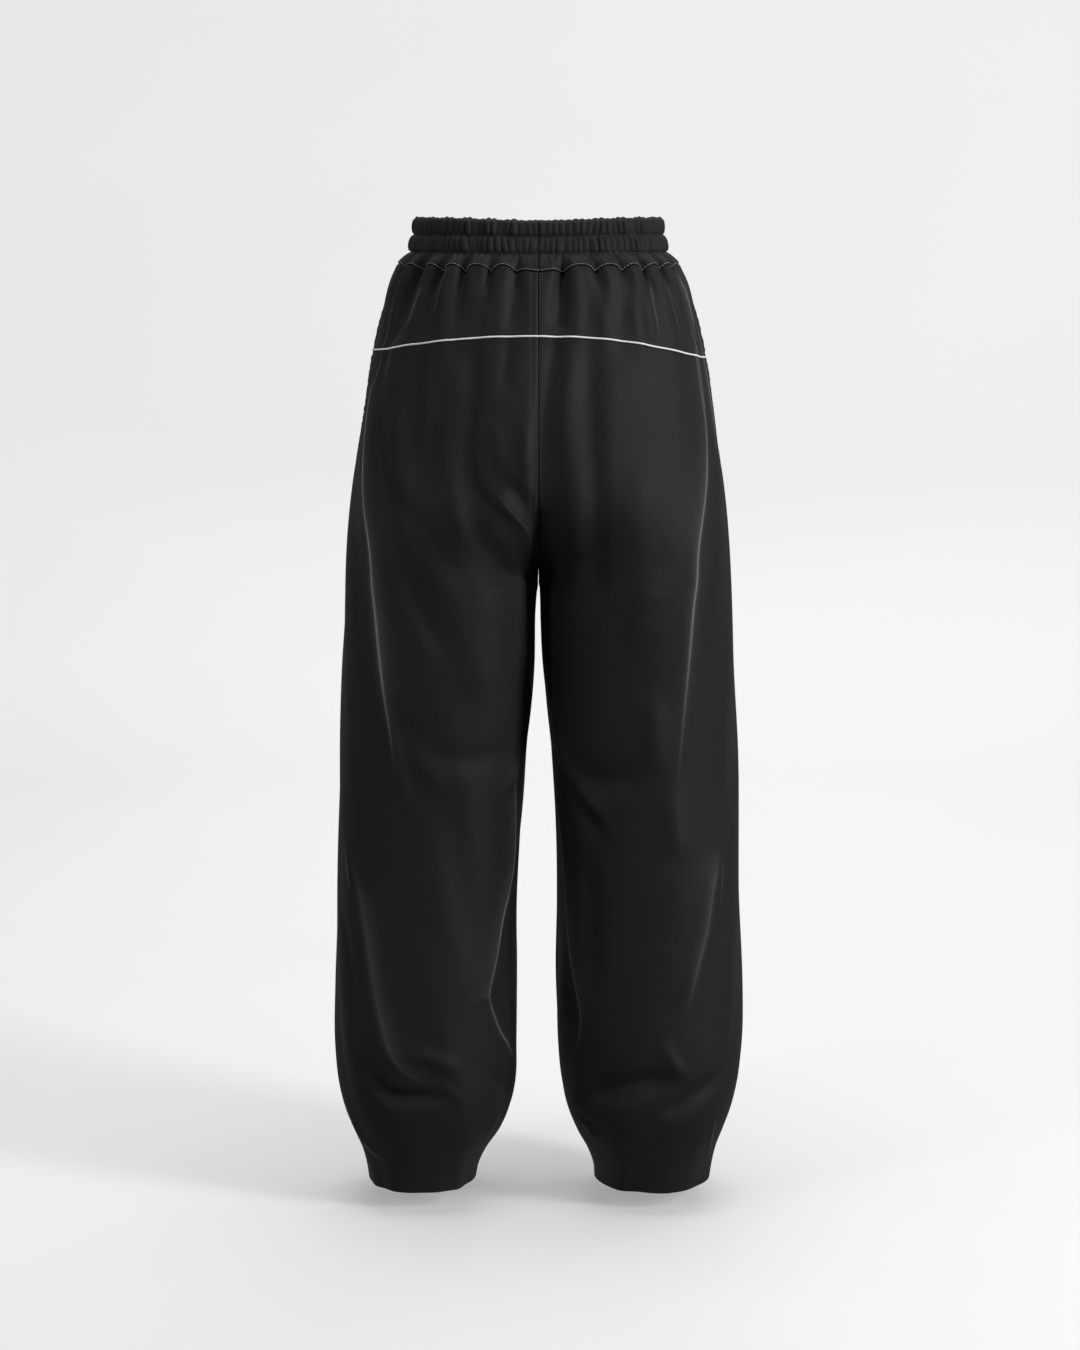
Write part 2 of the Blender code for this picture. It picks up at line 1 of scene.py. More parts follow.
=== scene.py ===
# %% [markdown]
# # Wide-leg sweatpants, worn and hollow
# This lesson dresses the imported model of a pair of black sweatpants. Every piece of cloth is a thin
# sheet that is laid on the same skin as its solid, with the creases, seams, stitches and knit that
# the real cloth has. The frame is loaded first, and nothing in it is moved: +Z is up, -Y is the
# garment's back, +X the wearer's right, and the origin is the middle of the elastic waistband.

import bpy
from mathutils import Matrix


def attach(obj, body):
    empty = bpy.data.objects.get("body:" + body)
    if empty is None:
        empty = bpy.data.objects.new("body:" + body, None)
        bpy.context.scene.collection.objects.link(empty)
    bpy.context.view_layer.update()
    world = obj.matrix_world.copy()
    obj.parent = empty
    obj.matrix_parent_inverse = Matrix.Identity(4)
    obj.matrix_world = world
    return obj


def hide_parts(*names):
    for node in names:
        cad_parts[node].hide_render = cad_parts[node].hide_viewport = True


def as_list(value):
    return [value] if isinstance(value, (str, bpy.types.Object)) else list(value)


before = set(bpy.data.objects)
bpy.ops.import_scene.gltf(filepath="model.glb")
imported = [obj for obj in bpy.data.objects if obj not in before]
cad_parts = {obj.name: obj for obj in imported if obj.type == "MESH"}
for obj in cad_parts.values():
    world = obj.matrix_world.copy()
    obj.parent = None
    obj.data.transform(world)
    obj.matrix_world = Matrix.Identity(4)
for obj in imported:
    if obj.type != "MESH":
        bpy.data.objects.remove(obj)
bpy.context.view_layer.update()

import math
from collections import namedtuple

import bpy
import numpy as np

MM = 0.001
print("solids:", sorted(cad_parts))

# %% [markdown]
# ## The cut
# A pair of trousers is a few flat panels sewn into tubes, and whoever wears them fills them out. So
# the sizes come as a short table of cross-sections, in millimetres below the top of the waistband:
# how far out the widest point is, where the inside of each leg is, and how deep the garment is
# behind and in front. Everything else is read from it.

# %% The sizes of the garment
RIM_ABOVE_HOLD = 25.0  # the top of the waistband, above the origin
CLOTH, HEM_WALL = 1.5, 2.6  # the wall of a panel, and the wall with the turned hem's layer
SEAM_GAP = 0.2  # between two pieces at a seam
SQUARENESS = 2.3  # exponent of the rings: 2 is an ellipse
WAIST_SEAM = 49.5
# The waist seam's arcs: height, roundness, and how far they reach.
SCALLOP, SCALLOP_ARC, SCALLOP_FADE = 3.4, 0.65, 40.0
RIM_DIP, RIM_DIP_WIDTH, RIM_FRONT_DIP = 3.0, 60.0, 9.0  # the rim is lower in the middle, most at the front
YOKE_MIDDLE, YOKE_SIDE = 115.7, {"left": 133.5, "right": 141.5}
FORK_MIDDLE, FORK_SIDE = 215.0, 225.0  # from here the rows bend towards the crotch
CROTCH, HEM_TOP, LENGTH = 362.0, 975.0, 1000.0
SIDES = {"left": -1.0, "right": 1.0}

Section = namedtuple("Section", "below outer inner_left inner_right back front")
SECTIONS = [Section(*row) for row in (
    (49.5, 143, 0, 0, 106, 105),
    (63, 150.2, 0, 0, 110, 108),
    (94, 159, 0, 0, 118, 113.5),
    (119, 164.8, 0, 0, 123.5, 116),
    (150, 171, 0, 0, 130, 118),
    (185, 177, 0, 0, 136, 119.5),
    (226, 183.5, 0, 0, 139, 120),
    (267, 189.8, 0, 0, 138, 119),
    (309, 194.3, 0, 0, 133.5, 117.5),
    (362, 198.4, 0, 0, 125, 115),
    (380, 199.3, 1.4, 1.4, 123, 113.5),
    (412, 200.6, 3, 2.6, 120.5, 111),
    (454, 202.3, 4.1, 4.5, 118, 108.5),
    (496, 203.8, 6.7, 8, 116, 106),
    (538, 205.4, 11.5, 12, 114, 103.5),
    (601, 207.2, 16.1, 17, 112, 100),
    (707, 209.9, 23, 19.5, 113, 94),
    (793, 212.6, 22.6, 18.6, 115, 90),
    (858, 212.6, 23.3, 21.3, 115, 89),
    (901, 208.4, 25.2, 24.9, 113, 88),
    (923, 203.2, 30, 28.7, 109.5, 86.5),
    (945, 195, 39.4, 38.1, 102, 84),
    (966, 186.4, 53.6, 50, 92.5, 80.5),
    (988, 181.2, 63.4, 57.8, 83, 77),
    (1000, 179.5, 65.8, 58.8, 79, 76),
)]

SeamPlace = namedtuple("SeamPlace", "below around")
SIDE_SEAM = [SeamPlace(*row) for row in (
    (49.5, 0.450), (90, 0.466), (137.5, 0.488), (250, 0.492), (1000, 0.492))]
print("cross-sections:", len(SECTIONS))

# %% [markdown]
# ## The skin
# Round each half of the garment the skin is a loop, from the centre back over the side to the
# centre front. Above the fork the loop is half of a waist ring, and below the crotch it is a whole
# leg ring. A place on the skin is (around, below): around is 0 at the centre back or the inseam,
# 0.5 at the widest point and 1 at the front.

# %% Read the tables and bend them into rings
FULLNESS_STEPS = 60


def column(table, name):
    return np.array([getattr(row, name) for row in table], dtype=float)


def smooth(x, y, at):
    """A smooth line through the points (x, y), read at any places between them."""
    slope = np.gradient(y, x)
    i = np.clip(np.searchsorted(x, at, side="right") - 1, 0, len(x) - 2)
    span = x[i + 1] - x[i]
    q = np.clip((at - x[i]) / span, 0.0, 1.0)
    ends = y[i] * (1 + 2 * q) * (1 - q) ** 2 + y[i + 1] * q**2 * (3 - 2 * q)
    return ends + span * (slope[i] * q * (1 - q) ** 2 - slope[i + 1] * q**2 * (1 - q))


def rounded(value):
    """A cosine or sine made as square as the rings are."""
    return np.sign(value) * np.abs(value) ** (2 / SQUARENESS)


def read(at, measure, points):
    """Points of a line, read at any places of the measure that runs along it."""
    return np.stack([np.interp(at, measure, points[:, k]) for k in range(3)], axis=-1)


def half_ring(sign, half_width, back, front, around):
    depth = np.where(around < 0.5, back, front)
    return sign * half_width * rounded(np.sin(np.pi * around)), -depth * rounded(np.cos(np.pi * around))


def fullness(turned):
    """Keeps a row between a waist ring and a leg ring as deep as they are."""
    quarter = np.linspace(0.0, 0.5, FULLNESS_STEPS)
    waist, leg = rounded(np.cos(np.pi * quarter)), rounded(np.sin(2 * np.pi * quarter))
    return 1 / np.max(waist + (leg - waist) * turned, axis=-1, keepdims=True)


def skin(side, around, middle, widest, turned):
    """The bare skin's points, in millimetres. A row is middle low in the middle, and widest at the side."""
    sign = SIDES[side]
    below = widest + (middle - widest) * np.cos(np.pi * around) ** 2
    names = ("outer", "inner_" + side, "back", "front")
    outer, inner, back, front = (smooth(column(SECTIONS, "below"), column(SECTIONS, n), below) for n in names)
    waist_x, waist_y = half_ring(sign, outer, back, front, around)
    leg_x = sign * ((outer + inner) / 2 - (outer - inner) / 2 * rounded(np.cos(2 * np.pi * around)))
    leg_y = -np.where(around < 0.5, back, front) * rounded(np.sin(2 * np.pi * around))
    x = waist_x + (leg_x - waist_x) * turned
    y = (waist_y + (leg_y - waist_y) * turned) * fullness(turned)
    return np.stack(np.broadcast_arrays(x, y, RIM_ABOVE_HOLD - below), axis=-1)


def row_at(side, widest):
    """(middle, widest, turned) of the row that is at height widest at the side."""
    yoke = YOKE_SIDE[side]
    if widest <= yoke:
        share = (widest - WAIST_SEAM) / (yoke - WAIST_SEAM)
        return WAIST_SEAM + share * (YOKE_MIDDLE - WAIST_SEAM), widest, 0.0
    if widest <= FORK_SIDE:
        share = (widest - yoke) / (FORK_SIDE - yoke)
        return YOKE_MIDDLE + share * (FORK_MIDDLE - YOKE_MIDDLE), widest, 0.0
    if widest <= CROTCH:
        turn = math.pi / 2 * (widest - FORK_SIDE) / (CROTCH - FORK_SIDE)
        return FORK_MIDDLE + (CROTCH - FORK_MIDDLE) * math.sin(turn), widest, 1.0 - math.cos(turn)
    return widest, widest, 1.0


# %% [markdown]
# ## Folds and gathers
# Cloth that hangs from a waistband and rests on its wearer makes long soft ridges, with a sharper
# crest where it is pinched, and hollows beside them. Each fold here is one row: how far it stands
# out or sinks in, how wide its two flanks are, how much of it is left at its two ends, and its
# course over the skin, as places that are thousandths of the way around and millimetres below the
# rim. A course goes down or across: its first flank is on the viewer's left when it goes down, and
# underneath when it goes right. Two last numbers say how crisp its crest is, with a painted
# highlight along the crest, and how much painted highlight lies on the cloth beside the crest;
# without them it is soft and dark.

# %% The folds, one row for each
Fold = namedtuple("Fold", "rise flank_a flank_b start end course crisp worn", defaults=(0.0, 0.0))
FOLD_FADE = 0.35  # share of its length over which a fold grows from its share at an end
COURSE_STEPS, KNOT_STEPS = 18, 3  # the pieces of a course, at least, and for each of its places
LONG_COURSE, EVEN_OUT = 9, 10  # a course with more places than this is evened out, this many times
FOLD_REACH = 5.0  # flanks, past which a fold isn't felt
CREST_SHARE, CREST_FLANK, CREST_LEAST = 0.20, 0.3, 1.6  # the narrow crest on top of a crisp ridge
CREASE_REACH = 5.0  # millimetres beside a crest to which its fine crease is kept
PAINTED_GLOW_REACH = 4.5  # millimetres in which the painted highlight beside a crest fades to dark again
FAR = 99.0  # stands for no crest near

FOLDS = {
    "left": [Fold(*row) for row in (
        # the long ridge from the hip to the knee, and the hollows beside it
        (4.8, 9, 13, 0.7, 0, ((403, 173), (398, 203), (383, 232), (362, 261), (349, 300), (345, 319),
                (345, 334), (347, 349), (349, 364), (345, 379), (341, 399), (336, 420), (332, 439),
                (327, 460), (323, 480), (317, 500), (305, 536), (296, 571)), 1, 1),
        (-3, 10, 16, 0, 0.3, ((274, 298), (284, 359), (257, 407), (235, 433))),
        (-3, 7, 14, 0, 0, ((313, 469), (293, 515), (275, 555), (254, 601))),
        # the seat
        (-3.8, 10, 12, 0.3, 0, ((319, 206), (290, 259), (276, 308))),
        (3.4, 10, 10, 0, 0, ((247, 180), (232, 243), (238, 307))),
        (-2.4, 9, 10, 0.3, 0, ((172, 190), (180, 243), (195, 290))),
        (3.6, 10, 12, 0.2, 0, ((157, 159), (143, 228), (137, 291), (162, 342))),
        (-4.6, 15, 8, 0.6, 0.5, ((98, 66), (104, 110), (104, 149), (103, 188), (105, 217), (102, 247),
                (92, 271), (65, 290), (24, 307))),
        (5, 22, 10, 0, 0, ((284, 165), (266, 210), (255, 249), (255, 293))),
        (-3.2, 8, 7, 0.6, 0, ((46, 66), (42, 110), (46, 149), (46, 183))),
        (-3.6, 10, 10, 0.4, 0, ((250, 72), (237, 111), (233, 150), (227, 194), (218, 238), (217, 287))),
        (-2.6, 7, 7, 0.6, 0, ((170, 67), (155, 110), (152, 144))),
        (-2.5, 5, 8, 0, 1, ((2, 276), (3, 313), (7, 350))),
        (3.2, 9, 6, 0, 0.9, ((62, 268), (48, 279), (35, 291), (23, 300), (15, 307)), 0.12, 0.2),
        (-3.8, 8, 8, 0.2, 0.9, ((48, 259), (34, 265), (22, 274), (12, 289), (8, 300))),
        (2, 7, 7, 0, 0, ((64, 193), (57, 222), (52, 250))),
        (3, 6, 6, 0, 0, ((17, 193), (14, 225), (19, 258))),
        # the inside of the thigh and the back of the knee
        (3, 14, 5, 0.3, 0, ((60, 340), (87, 373), (82, 435), (85, 481))),
        (2, 22, 18, 0, 0, ((157, 337), (190, 419), (167, 495))),
        (1.8, 14, 12, 0, 0, ((283, 504), (254, 548), (221, 587))),
        (-2, 13, 14, 0.2, 0.3, ((297, 494), (267, 519), (236, 536), (165, 541), (80, 536))),
        (3, 9, 5, 0.5, 0, ((43, 483), (53, 535), (80, 560), (119, 587))),
        # the inner ridge down the shin
        (3.8, 12, 6, 0.3, 0.5, ((84, 565), (78, 605), (73, 662), (99, 709), (128, 767),
                (138, 790)), 0.5, 0.4),
        (1, 3, 3, 0, 0.6, ((74, 633), (90, 699), (119, 747), (138, 790)), 1),
        (3.4, 10, 5, 0.7, 0.3, ((138, 790), (109, 827), (57, 862)), 0.45, 0.3),
        # the calf, and the cloth that piles up above the ankle
        (5.8, 9, 12, 0, 0.2, ((405, 641), (373, 669), (353, 693), (338, 728), (328, 758), (317, 794),
                (300, 835), (282, 856), (255, 870)), 0.05, 0.6),
        (1.4, 3, 3, 0, 0, ((423, 630), (408, 657), (395, 687)), 1),
        (-2.2, 7, 9, 0.2, 0, ((433, 702), (396, 754), (361, 824))),
        (-8, 8, 7, 0, 0.2, ((356, 844), (325, 876), (298, 888), (254, 889), (212, 889))),
        (3.2, 9, 9, 0, 0, ((283, 845), (251, 845), (231, 851), (209, 858), (182, 876))),
        (1.6, 5, 5, 0, 0, ((226, 873), (210, 885), (184, 900))),
        (2.4, 6, 6, 0.3, 0, ((429, 914), (414, 939), (378, 957), (340, 965)), 0.6),
        (1.6, 4, 5, 0.2, 0, ((85, 916), (103, 929), (117, 943))),
        (-2.6, 7, 7, 0, 0.4, ((139, 865), (101, 884), (34, 906))),
        # the hip and the pocket's edge
        (1.6, 5, 4, 0.4, 0, ((263, 69), (276, 90), (289, 113)), 0.6),
        (1.6, 5, 4, 0.4, 0, ((200, 54), (208, 71), (217, 99)), 0.6),
        (1.1, 2.6, 2.6, 0.2, 0.2, ((376, 82), (386, 122), (391, 158), (395, 193)), 0.6),
        (1, 2.6, 2.6, 0.2, 0, ((331, 92), (337, 132), (339, 171)), 0.6),
        (-2.6, 9, 8, 0.3, 0, ((323, 72), (340, 107), (358, 142))),
        # the front, by the same rules
        (3.4, 12, 9, 0, 0.4, ((590, 300), (640, 430), (680, 560), (660, 690)), 0.3, 0.6),
        (1, 4, 3, 0, 0, ((602, 350), (645, 440), (675, 540)), 0.3),
        (4.5, 13, 9, 0, 0.5, ((585, 660), (625, 740), (680, 820), (730, 868))),
        (-5, 10, 8, 0, 0, ((830, 884), (745, 893), (660, 886))),
        (3.5, 8, 8, 0.7, 0, ((985, 315), (930, 285), (870, 235))),
        (-4, 8, 8, 0.6, 0, ((985, 345), (920, 325), (840, 300))),
        (2.6, 6, 7, 0.4, 0, ((980, 378), (915, 372), (830, 350))),
        (3.5, 13, 11, 0, 0, ((940, 540), (905, 640), (850, 740))),
        (-2.6, 14, 12, 0, 0, ((760, 470), (770, 560), (750, 650))),
        (2.2, 8, 10, 0, 0, ((735, 842), (790, 856), (850, 842))),
    )],
    "right": [Fold(*row) for row in (
        # the long ridge from the pocket to the knee
        (4.6, 13, 9, 0.4, 0, ((379, 132), (360, 167), (373, 192), (363, 222), (344, 251), (328, 280),
                (324, 299), (324, 319), (326, 333), (330, 348), (333, 363), (328, 378), (325, 398),
                (322, 419), (318, 439), (311, 479), (302, 520), (293, 555), (292, 590)), 0.5, 0.72),
        (3, 14, 12, 0.3, 0, ((287, 560), (290, 605), (300, 650)), 0, 0.3),
        # the seat
        (-4.6, 12, 12, 0.5, 0.2, ((92, 66), (82, 110), (79, 149), (78, 207), (81, 256), (96, 296),
                (110, 316), (123, 332), (146, 347), (184, 363), (177, 378), (170, 399), (162, 420))),
        (-3.6, 8, 10, 0.6, 0, ((29, 66), (26, 110), (16, 149), (9, 178), (4, 217), (4, 256))),
        (-7.5, 9, 25, 0.3, 1, ((4, 187), (4, 236), (4, 276), (5, 319), (13, 349))),
        (2.5, 8, 11, 0.5, 0, ((54, 66), (47, 110), (41, 149), (36, 188), (37, 236), (49, 286),
                (67, 317), (81, 333), (90, 338))),
        (1.8, 8, 9, 0.6, 0, ((122, 66), (114, 100), (116, 135))),
        (-2.4, 8, 8, 0.6, 0, ((165, 67), (151, 110), (148, 140))),
        (-2.4, 8, 8, 0.6, 0, ((235, 67), (226, 111), (225, 140))),
        (1.8, 16, 16, 0, 0, ((160, 149), (159, 228), (180, 296), (198, 316), (216, 331), (235, 346),
                (252, 361), (252, 377), (250, 397), (250, 418))),
        # the inside of the thigh and the back of the knee, with its ledge
        (4, 14, 26, 0, 0, ((227, 341), (250, 362), (250, 377), (248, 397), (247, 418), (240, 468))),
        (4.4, 8, 11, 0.3, 0.3, ((47, 471), (76, 522), (95, 553), (128, 573), (167, 595), (185, 611))),
        (-4, 12, 11, 0.3, 0, ((92, 577), (143, 604), (182, 624))),
        (-4.5, 13, 18, 0.3, 0.3, ((109, 568), (194, 564), (248, 561))),
        (4.2, 14, 13, 0.1, 0.2, ((255, 468), (261, 498), (260, 529), (254, 562))),
        # the shin
        (4, 6, 7, 0.2, 0, ((45, 595), (64, 640), (82, 688), (100, 743), (113, 773), (128, 811),
                (115, 841), (85, 869)), 0.25),
        (-4, 7, 17, 0, 0, ((133, 637), (140, 688), (145, 750), (149, 804))),
        # the calf, and the cloth that piles up above the ankle
        (5.4, 13, 8, 0, 0, ((376, 622), (366, 649), (350, 677), (337, 717), (319, 752), (305, 788),
                (295, 813)), 0.05, 0.46),
        (1.2, 3, 3, 0, 0, ((384, 641), (383, 670), (375, 705)), 0.4),
        (2.8, 9, 6, 0, 0.2, ((272, 824), (273, 846), (288, 862), (303, 874))),
        (-8.5, 14, 10, 0, 0.3, ((90, 902), (182, 883), (240, 873), (283, 871))),
        (-4.5, 9, 11, 0.2, 0, ((394, 868), (338, 882), (290, 897), (253, 911))),
        (1.8, 4, 3, 0.3, 0, ((110, 943), (160, 933), (197, 926))),
        (-3, 6, 5, 0.2, 0, ((90, 919), (125, 926), (161, 931))),
        (1.5, 3, 3, 0.2, 0.3, ((96, 926), (112, 933), (121, 943)), 0.6),
        (1.5, 4, 4, 0, 0, ((378, 917), (386, 943), (428, 975)), 0.6),
        # the hip and the pocket's edge
        (1.6, 4, 6, 0.4, 0, ((261, 50), (250, 82), (246, 126)), 0.4),
        (1.4, 3, 5, 0.4, 0, ((324, 60), (322, 92), (327, 127)), 0.4),
        (1.3, 2.8, 3, 0.4, 0.2, ((400, 58), (412, 88), (409, 123)), 1, 2),
        (1.2, 2.6, 2.6, 0.2, 0.2, ((440, 92), (438, 130), (428, 168), (418, 203), (408, 235)), 1, 2),
        (1.1, 2.6, 3, 0.2, 0, ((381, 97), (387, 137), (378, 182), (374, 222)), 1, 2),
        (1.8, 6, 8, 0.3, 0, ((196, 56), (190, 86), (189, 125), (185, 159))),
        # the front, by the same rules
        (3.4, 12, 9, 0, 0.4, ((600, 310), (655, 450), (690, 575), (700, 660)), 0.3, 0.6),
        (1, 4, 3, 0, 0, ((618, 360), (660, 465), (685, 555)), 0.3),
        (4.5, 13, 9, 0, 0.4, ((600, 640), (640, 730), (700, 800), (715, 862))),
        (-5, 10, 8, 0, 0, ((690, 884), (770, 888), (860, 876))),
        (3.5, 8, 8, 0.6, 0, ((985, 305), (925, 270), (880, 220))),
        (-4, 8, 8, 0.6, 0, ((985, 340), (915, 332), (850, 312))),
        (2.6, 6, 7, 0.4, 0, ((980, 372), (910, 380), (825, 366))),
        (3.5, 13, 11, 0, 0, ((935, 560), (900, 660), (860, 765))),
        (-2.6, 14, 12, 0, 0, ((770, 480), (780, 570), (765, 655))),
        (2.2, 8, 10, 0, 0, ((740, 846), (800, 850), (855, 836))),
    )],
}
print("folds:", {side: len(rows) for side, rows in FOLDS.items()})

# %% [markdown]
# The panels are wider than the waistband that they are sewn to, so their cloth dives under it in
# small pleats. A gather is a hollow that starts at the waist seam and dies out further down.
# Between the deep ones that the eye picks out lie many shallow ones, one for each rib of the
# elastic.

# %% The gathers under the waistband
Gather = namedtuple("Gather", "around lean depth width reach")
BACK_GATHERS = {
    "left": [Gather(*row) for row in (
        (0.037, -0.012, 2.6, 6.5, 70.0),
        (0.091, 0.000, 2.4, 7.0, 22.0),
        (0.156, -0.018, 2.8, 7.5, 45.0),
        (0.223, -0.006, 3.4, 8.0, 60.0),
        (0.305, 0.060, 6.5, 13.0, 75.0),
        (0.385, 0.030, 2.2, 7.0, 30.0),
    )],
    "right": [Gather(*row) for row in (
        (0.042, -0.020, 4.4, 7.5, 85.0),
        (0.114, 0.000, 2.4, 7.0, 24.0),
        (0.183, 0.005, 2.0, 7.0, 20.0),
        (0.250, 0.010, 2.6, 7.0, 40.0),
        (0.318, 0.020, 2.8, 7.0, 55.0),
        (0.385, 0.030, 2.4, 7.0, 35.0),
    )],
}
FRONT_GATHERS = [Gather(*row) for row in (
    (0.465, 0.010, 2.0, 7.0, 28.0),
    (0.530, 0.000, 2.0, 7.0, 28.0),
    (0.592, -0.005, 2.2, 7.0, 22.0),
    (0.655, -0.010, 3.0, 8.0, 34.0),
    (0.722, 0.000, 2.4, 7.0, 30.0),
    (0.785, 0.008, 3.2, 8.0, 60.0),
    (0.848, 0.000, 2.2, 7.0, 22.0),
    (0.905, 0.012, 3.4, 8.0, 65.0),
    (0.962, 0.010, 2.6, 6.5, 40.0),
)]
GATHER_DEEPER, GATHER_NARROW, GATHER_SPREAD, GATHER_FALL = 2.4, 0.65, 0.012, 1.5
CENTRE_LEVEL = 14.0  # millimetres beside the centre seams in which the waist seam runs level
SMALL_GATHERS, SMALL_DEPTH, SMALL_WIDTH, SMALL_REACH = 38, 1.1, 2.4, 15.0
SMALL_LEAN, SMALL_SPREAD = 0.03, 30.0
SMALL_PLACES, SMALL_REACHES, SMALL_DEPTHS = (0.2, 0.8), (0.6, 1.7), (0.4, 1.2)


def gathers(side):
    """The half's gathers, and the other half's as they lie from here, past the centre back and front."""
    seen = list(BACK_GATHERS[side] + FRONT_GATHERS)
    for gather in BACK_GATHERS["left" if side == "right" else "right"] + FRONT_GATHERS:
        mirrored = -gather.around if gather.around < 0.5 else 2 - gather.around
        seen.append(gather._replace(around=mirrored, lean=-gather.lean))
    return seen


def gather_shape(side, around, below, loop):
    """How deep the gathers sink the skin, and how low the waist seam runs: 1 at a gather, -1 on an arc."""
    depth, nearest, second = 0.0, 1e6, 1e6
    under = np.maximum(below - WAIST_SEAM, 0.0)
    for gather in gathers(side):
        away = (around - gather.around - gather.lean * under / 100.0) * loop
        here = np.exp(-((away / (gather.width * (GATHER_NARROW + GATHER_SPREAD * under))) ** 2))
        second = np.minimum(second, np.maximum(nearest, np.abs(away)))
        nearest = np.minimum(nearest, np.abs(away))
        depth = depth + GATHER_DEEPER * gather.depth * here * np.exp(-((under / gather.reach) ** GATHER_FALL))
    level = 1 - np.exp(-((np.minimum(around, 1 - around) * loop / CENTRE_LEVEL) ** 2))
    arc = np.sin(math.pi * nearest / (nearest + second)) ** SCALLOP_ARC
    return depth, 1 - 2 * level * arc


def small_gather_shape(side, around, below, loop):
    """The shallow pleats between the deep ones. Their places, depths and lengths vary, alike in each run."""
    chance = np.random.default_rng(11 if side == "left" else 12)
    under = np.maximum(below - WAIST_SEAM, 0.0)
    depth = 0.0
    for i in range(SMALL_GATHERS):
        place = (i + chance.uniform(*SMALL_PLACES)) / SMALL_GATHERS
        lean = chance.uniform(-SMALL_LEAN, SMALL_LEAN)
        reach = SMALL_REACH * chance.uniform(*SMALL_REACHES)
        away = (around - place - lean * under / 100.0) * loop
        here = np.exp(-((away / (SMALL_WIDTH * (1 + under / SMALL_SPREAD))) ** 2)) * np.exp(-under / reach)
        depth = depth + SMALL_DEPTH * chance.uniform(*SMALL_DEPTHS) * here
    return depth


# %% [markdown]
# ## One half of the skin
# The grid of a half has closer columns and rows beside each seam, because a seam is only a
# millimetre or two wide: there the cloth rolls inwards, and the thread holds it down. Everything
# that shapes the cloth is added along the skin's own way out, so a fold stands off the skin and
# never slides along it.

# %% Where the rows and columns lie
BESIDE_SEAM = (0.0, 0.5, 1.1, 1.9, 3.0, 4.6)  # millimetres
BACK_COLUMNS, FRONT_COLUMNS = 150, 84
YOKE_ROWS, LEG_ROWS = 40, 300
BACK_SPAN, FRONT_SPAN = 290.0, 280.0
WHOLE_LEG = 0.999  # a row turned further than this is a leg ring
SOFT_ROWS, SOFT_REACH, SOFT_FROM, SOFT_FADE = 26, 90.0, 0.12, 0.3  # the bend at the crotch that is rounded
SEAM_SINK, SEAM_ROLL = 1.1, 1.3  # how deep and how wide the cloth rolls in beside a seam
STIFF_YOKE, STIFF_REACH = 0.5, 9.0  # how much the piped seam evens out the gathers, and how far beside it


def crowded(count, span):
    """Shares from 0 to 1, close together beside both ends of something that is span millimetres long."""
    near = np.array(BESIDE_SEAM) / span
    inner = np.linspace(near[-1], 1 - near[-1], count - 2 * len(near) + 3)
    return np.concatenate([near[:-1], inner, 1 - near[-2::-1]])


def outward(points, sign, is_leg):
    """The skin's unit normals. Past its ends a leg ring runs on into itself, and a waist ring is mirrored."""
    mirror = np.array([-1.0, 1.0, 1.0])
    before = np.where(is_leg[:, None], points[:, -2], points[:, 1] * mirror)
    after = np.where(is_leg[:, None], points[:, 1], points[:, -2] * mirror)
    padded = np.concatenate([before[:, None], points, after[:, None]], axis=1)
    across = padded[:, 2:] - padded[:, :-2]
    normal = -sign * np.cross(across, np.gradient(points, axis=0))
    return normal / np.linalg.norm(normal, axis=-1, keepdims=True)


def bell(x):
    """A rounded peak with long flanks."""
    return (1 + x**2) ** -1.5


def fold_shape(points, out, line, fold):
    """How far a fold raises the points: a soft ridge or hollow along its line, each flank with its own width.
    Also how far beside its crest each point is, and how high the crest stands there."""
    reach = FOLD_REACH * max(fold.flank_a, fold.flank_b)
    close = np.all((points > line.min(0) - reach) & (points < line.max(0) + reach), axis=-1)
    near, normal = points[close], out[close]
    nearest, along, flank, beside = np.full(len(near), np.inf), *np.zeros((3, len(near)))
    for i, (p, q) in enumerate(zip(line[:-1], line[1:])):
        span = q - p
        share = np.clip((near - p) @ span / max(span @ span, 1e-6), 0.0, 1.0)
        offset = near - p - share[:, None] * span
        away = np.linalg.norm(offset, axis=-1)
        aside = np.einsum("ij,ij->i", offset, np.cross(span, normal))
        lean = np.clip(aside / np.maximum(np.linalg.norm(span) * away, 1e-6), -1, 1)
        width = (fold.flank_a + fold.flank_b + (fold.flank_a - fold.flank_b) * lean) / 2
        closer = away < nearest
        nearest = np.where(closer, away, nearest)
        along = np.where(closer, (i + share) / (len(line) - 1), along)
        flank = np.where(closer, width, flank)
        beside = np.where(closer, np.where(aside > 0, away, -away), beside)
    grown, left = (np.sin(np.pi / 2 * np.clip(way / FOLD_FADE, 0, 1)) ** 2 for way in (along, 1 - along))
    share = (fold.start + (1 - fold.start) * grown) * (fold.end + (1 - fold.end) * left)
    flanks = nearest / np.maximum(flank, 1e-6)
    wide = np.exp(-(flanks**2)) if fold.crisp == 0 else bell(flanks)
    narrow = bell(nearest / np.maximum(CREST_FLANK * flank, CREST_LEAST))
    crest = CREST_SHARE * min(fold.crisp, 1.0)
    raised, lift = np.zeros((2, *points.shape[:-1]))
    away = np.full(raised.shape, FAR)
    raised[close] = fold.rise * share * ((1 - crest) * wide + crest * narrow)
    away[close] = beside
    lift[close] = max(fold.rise, 0.0) * share
    return raised, away, lift


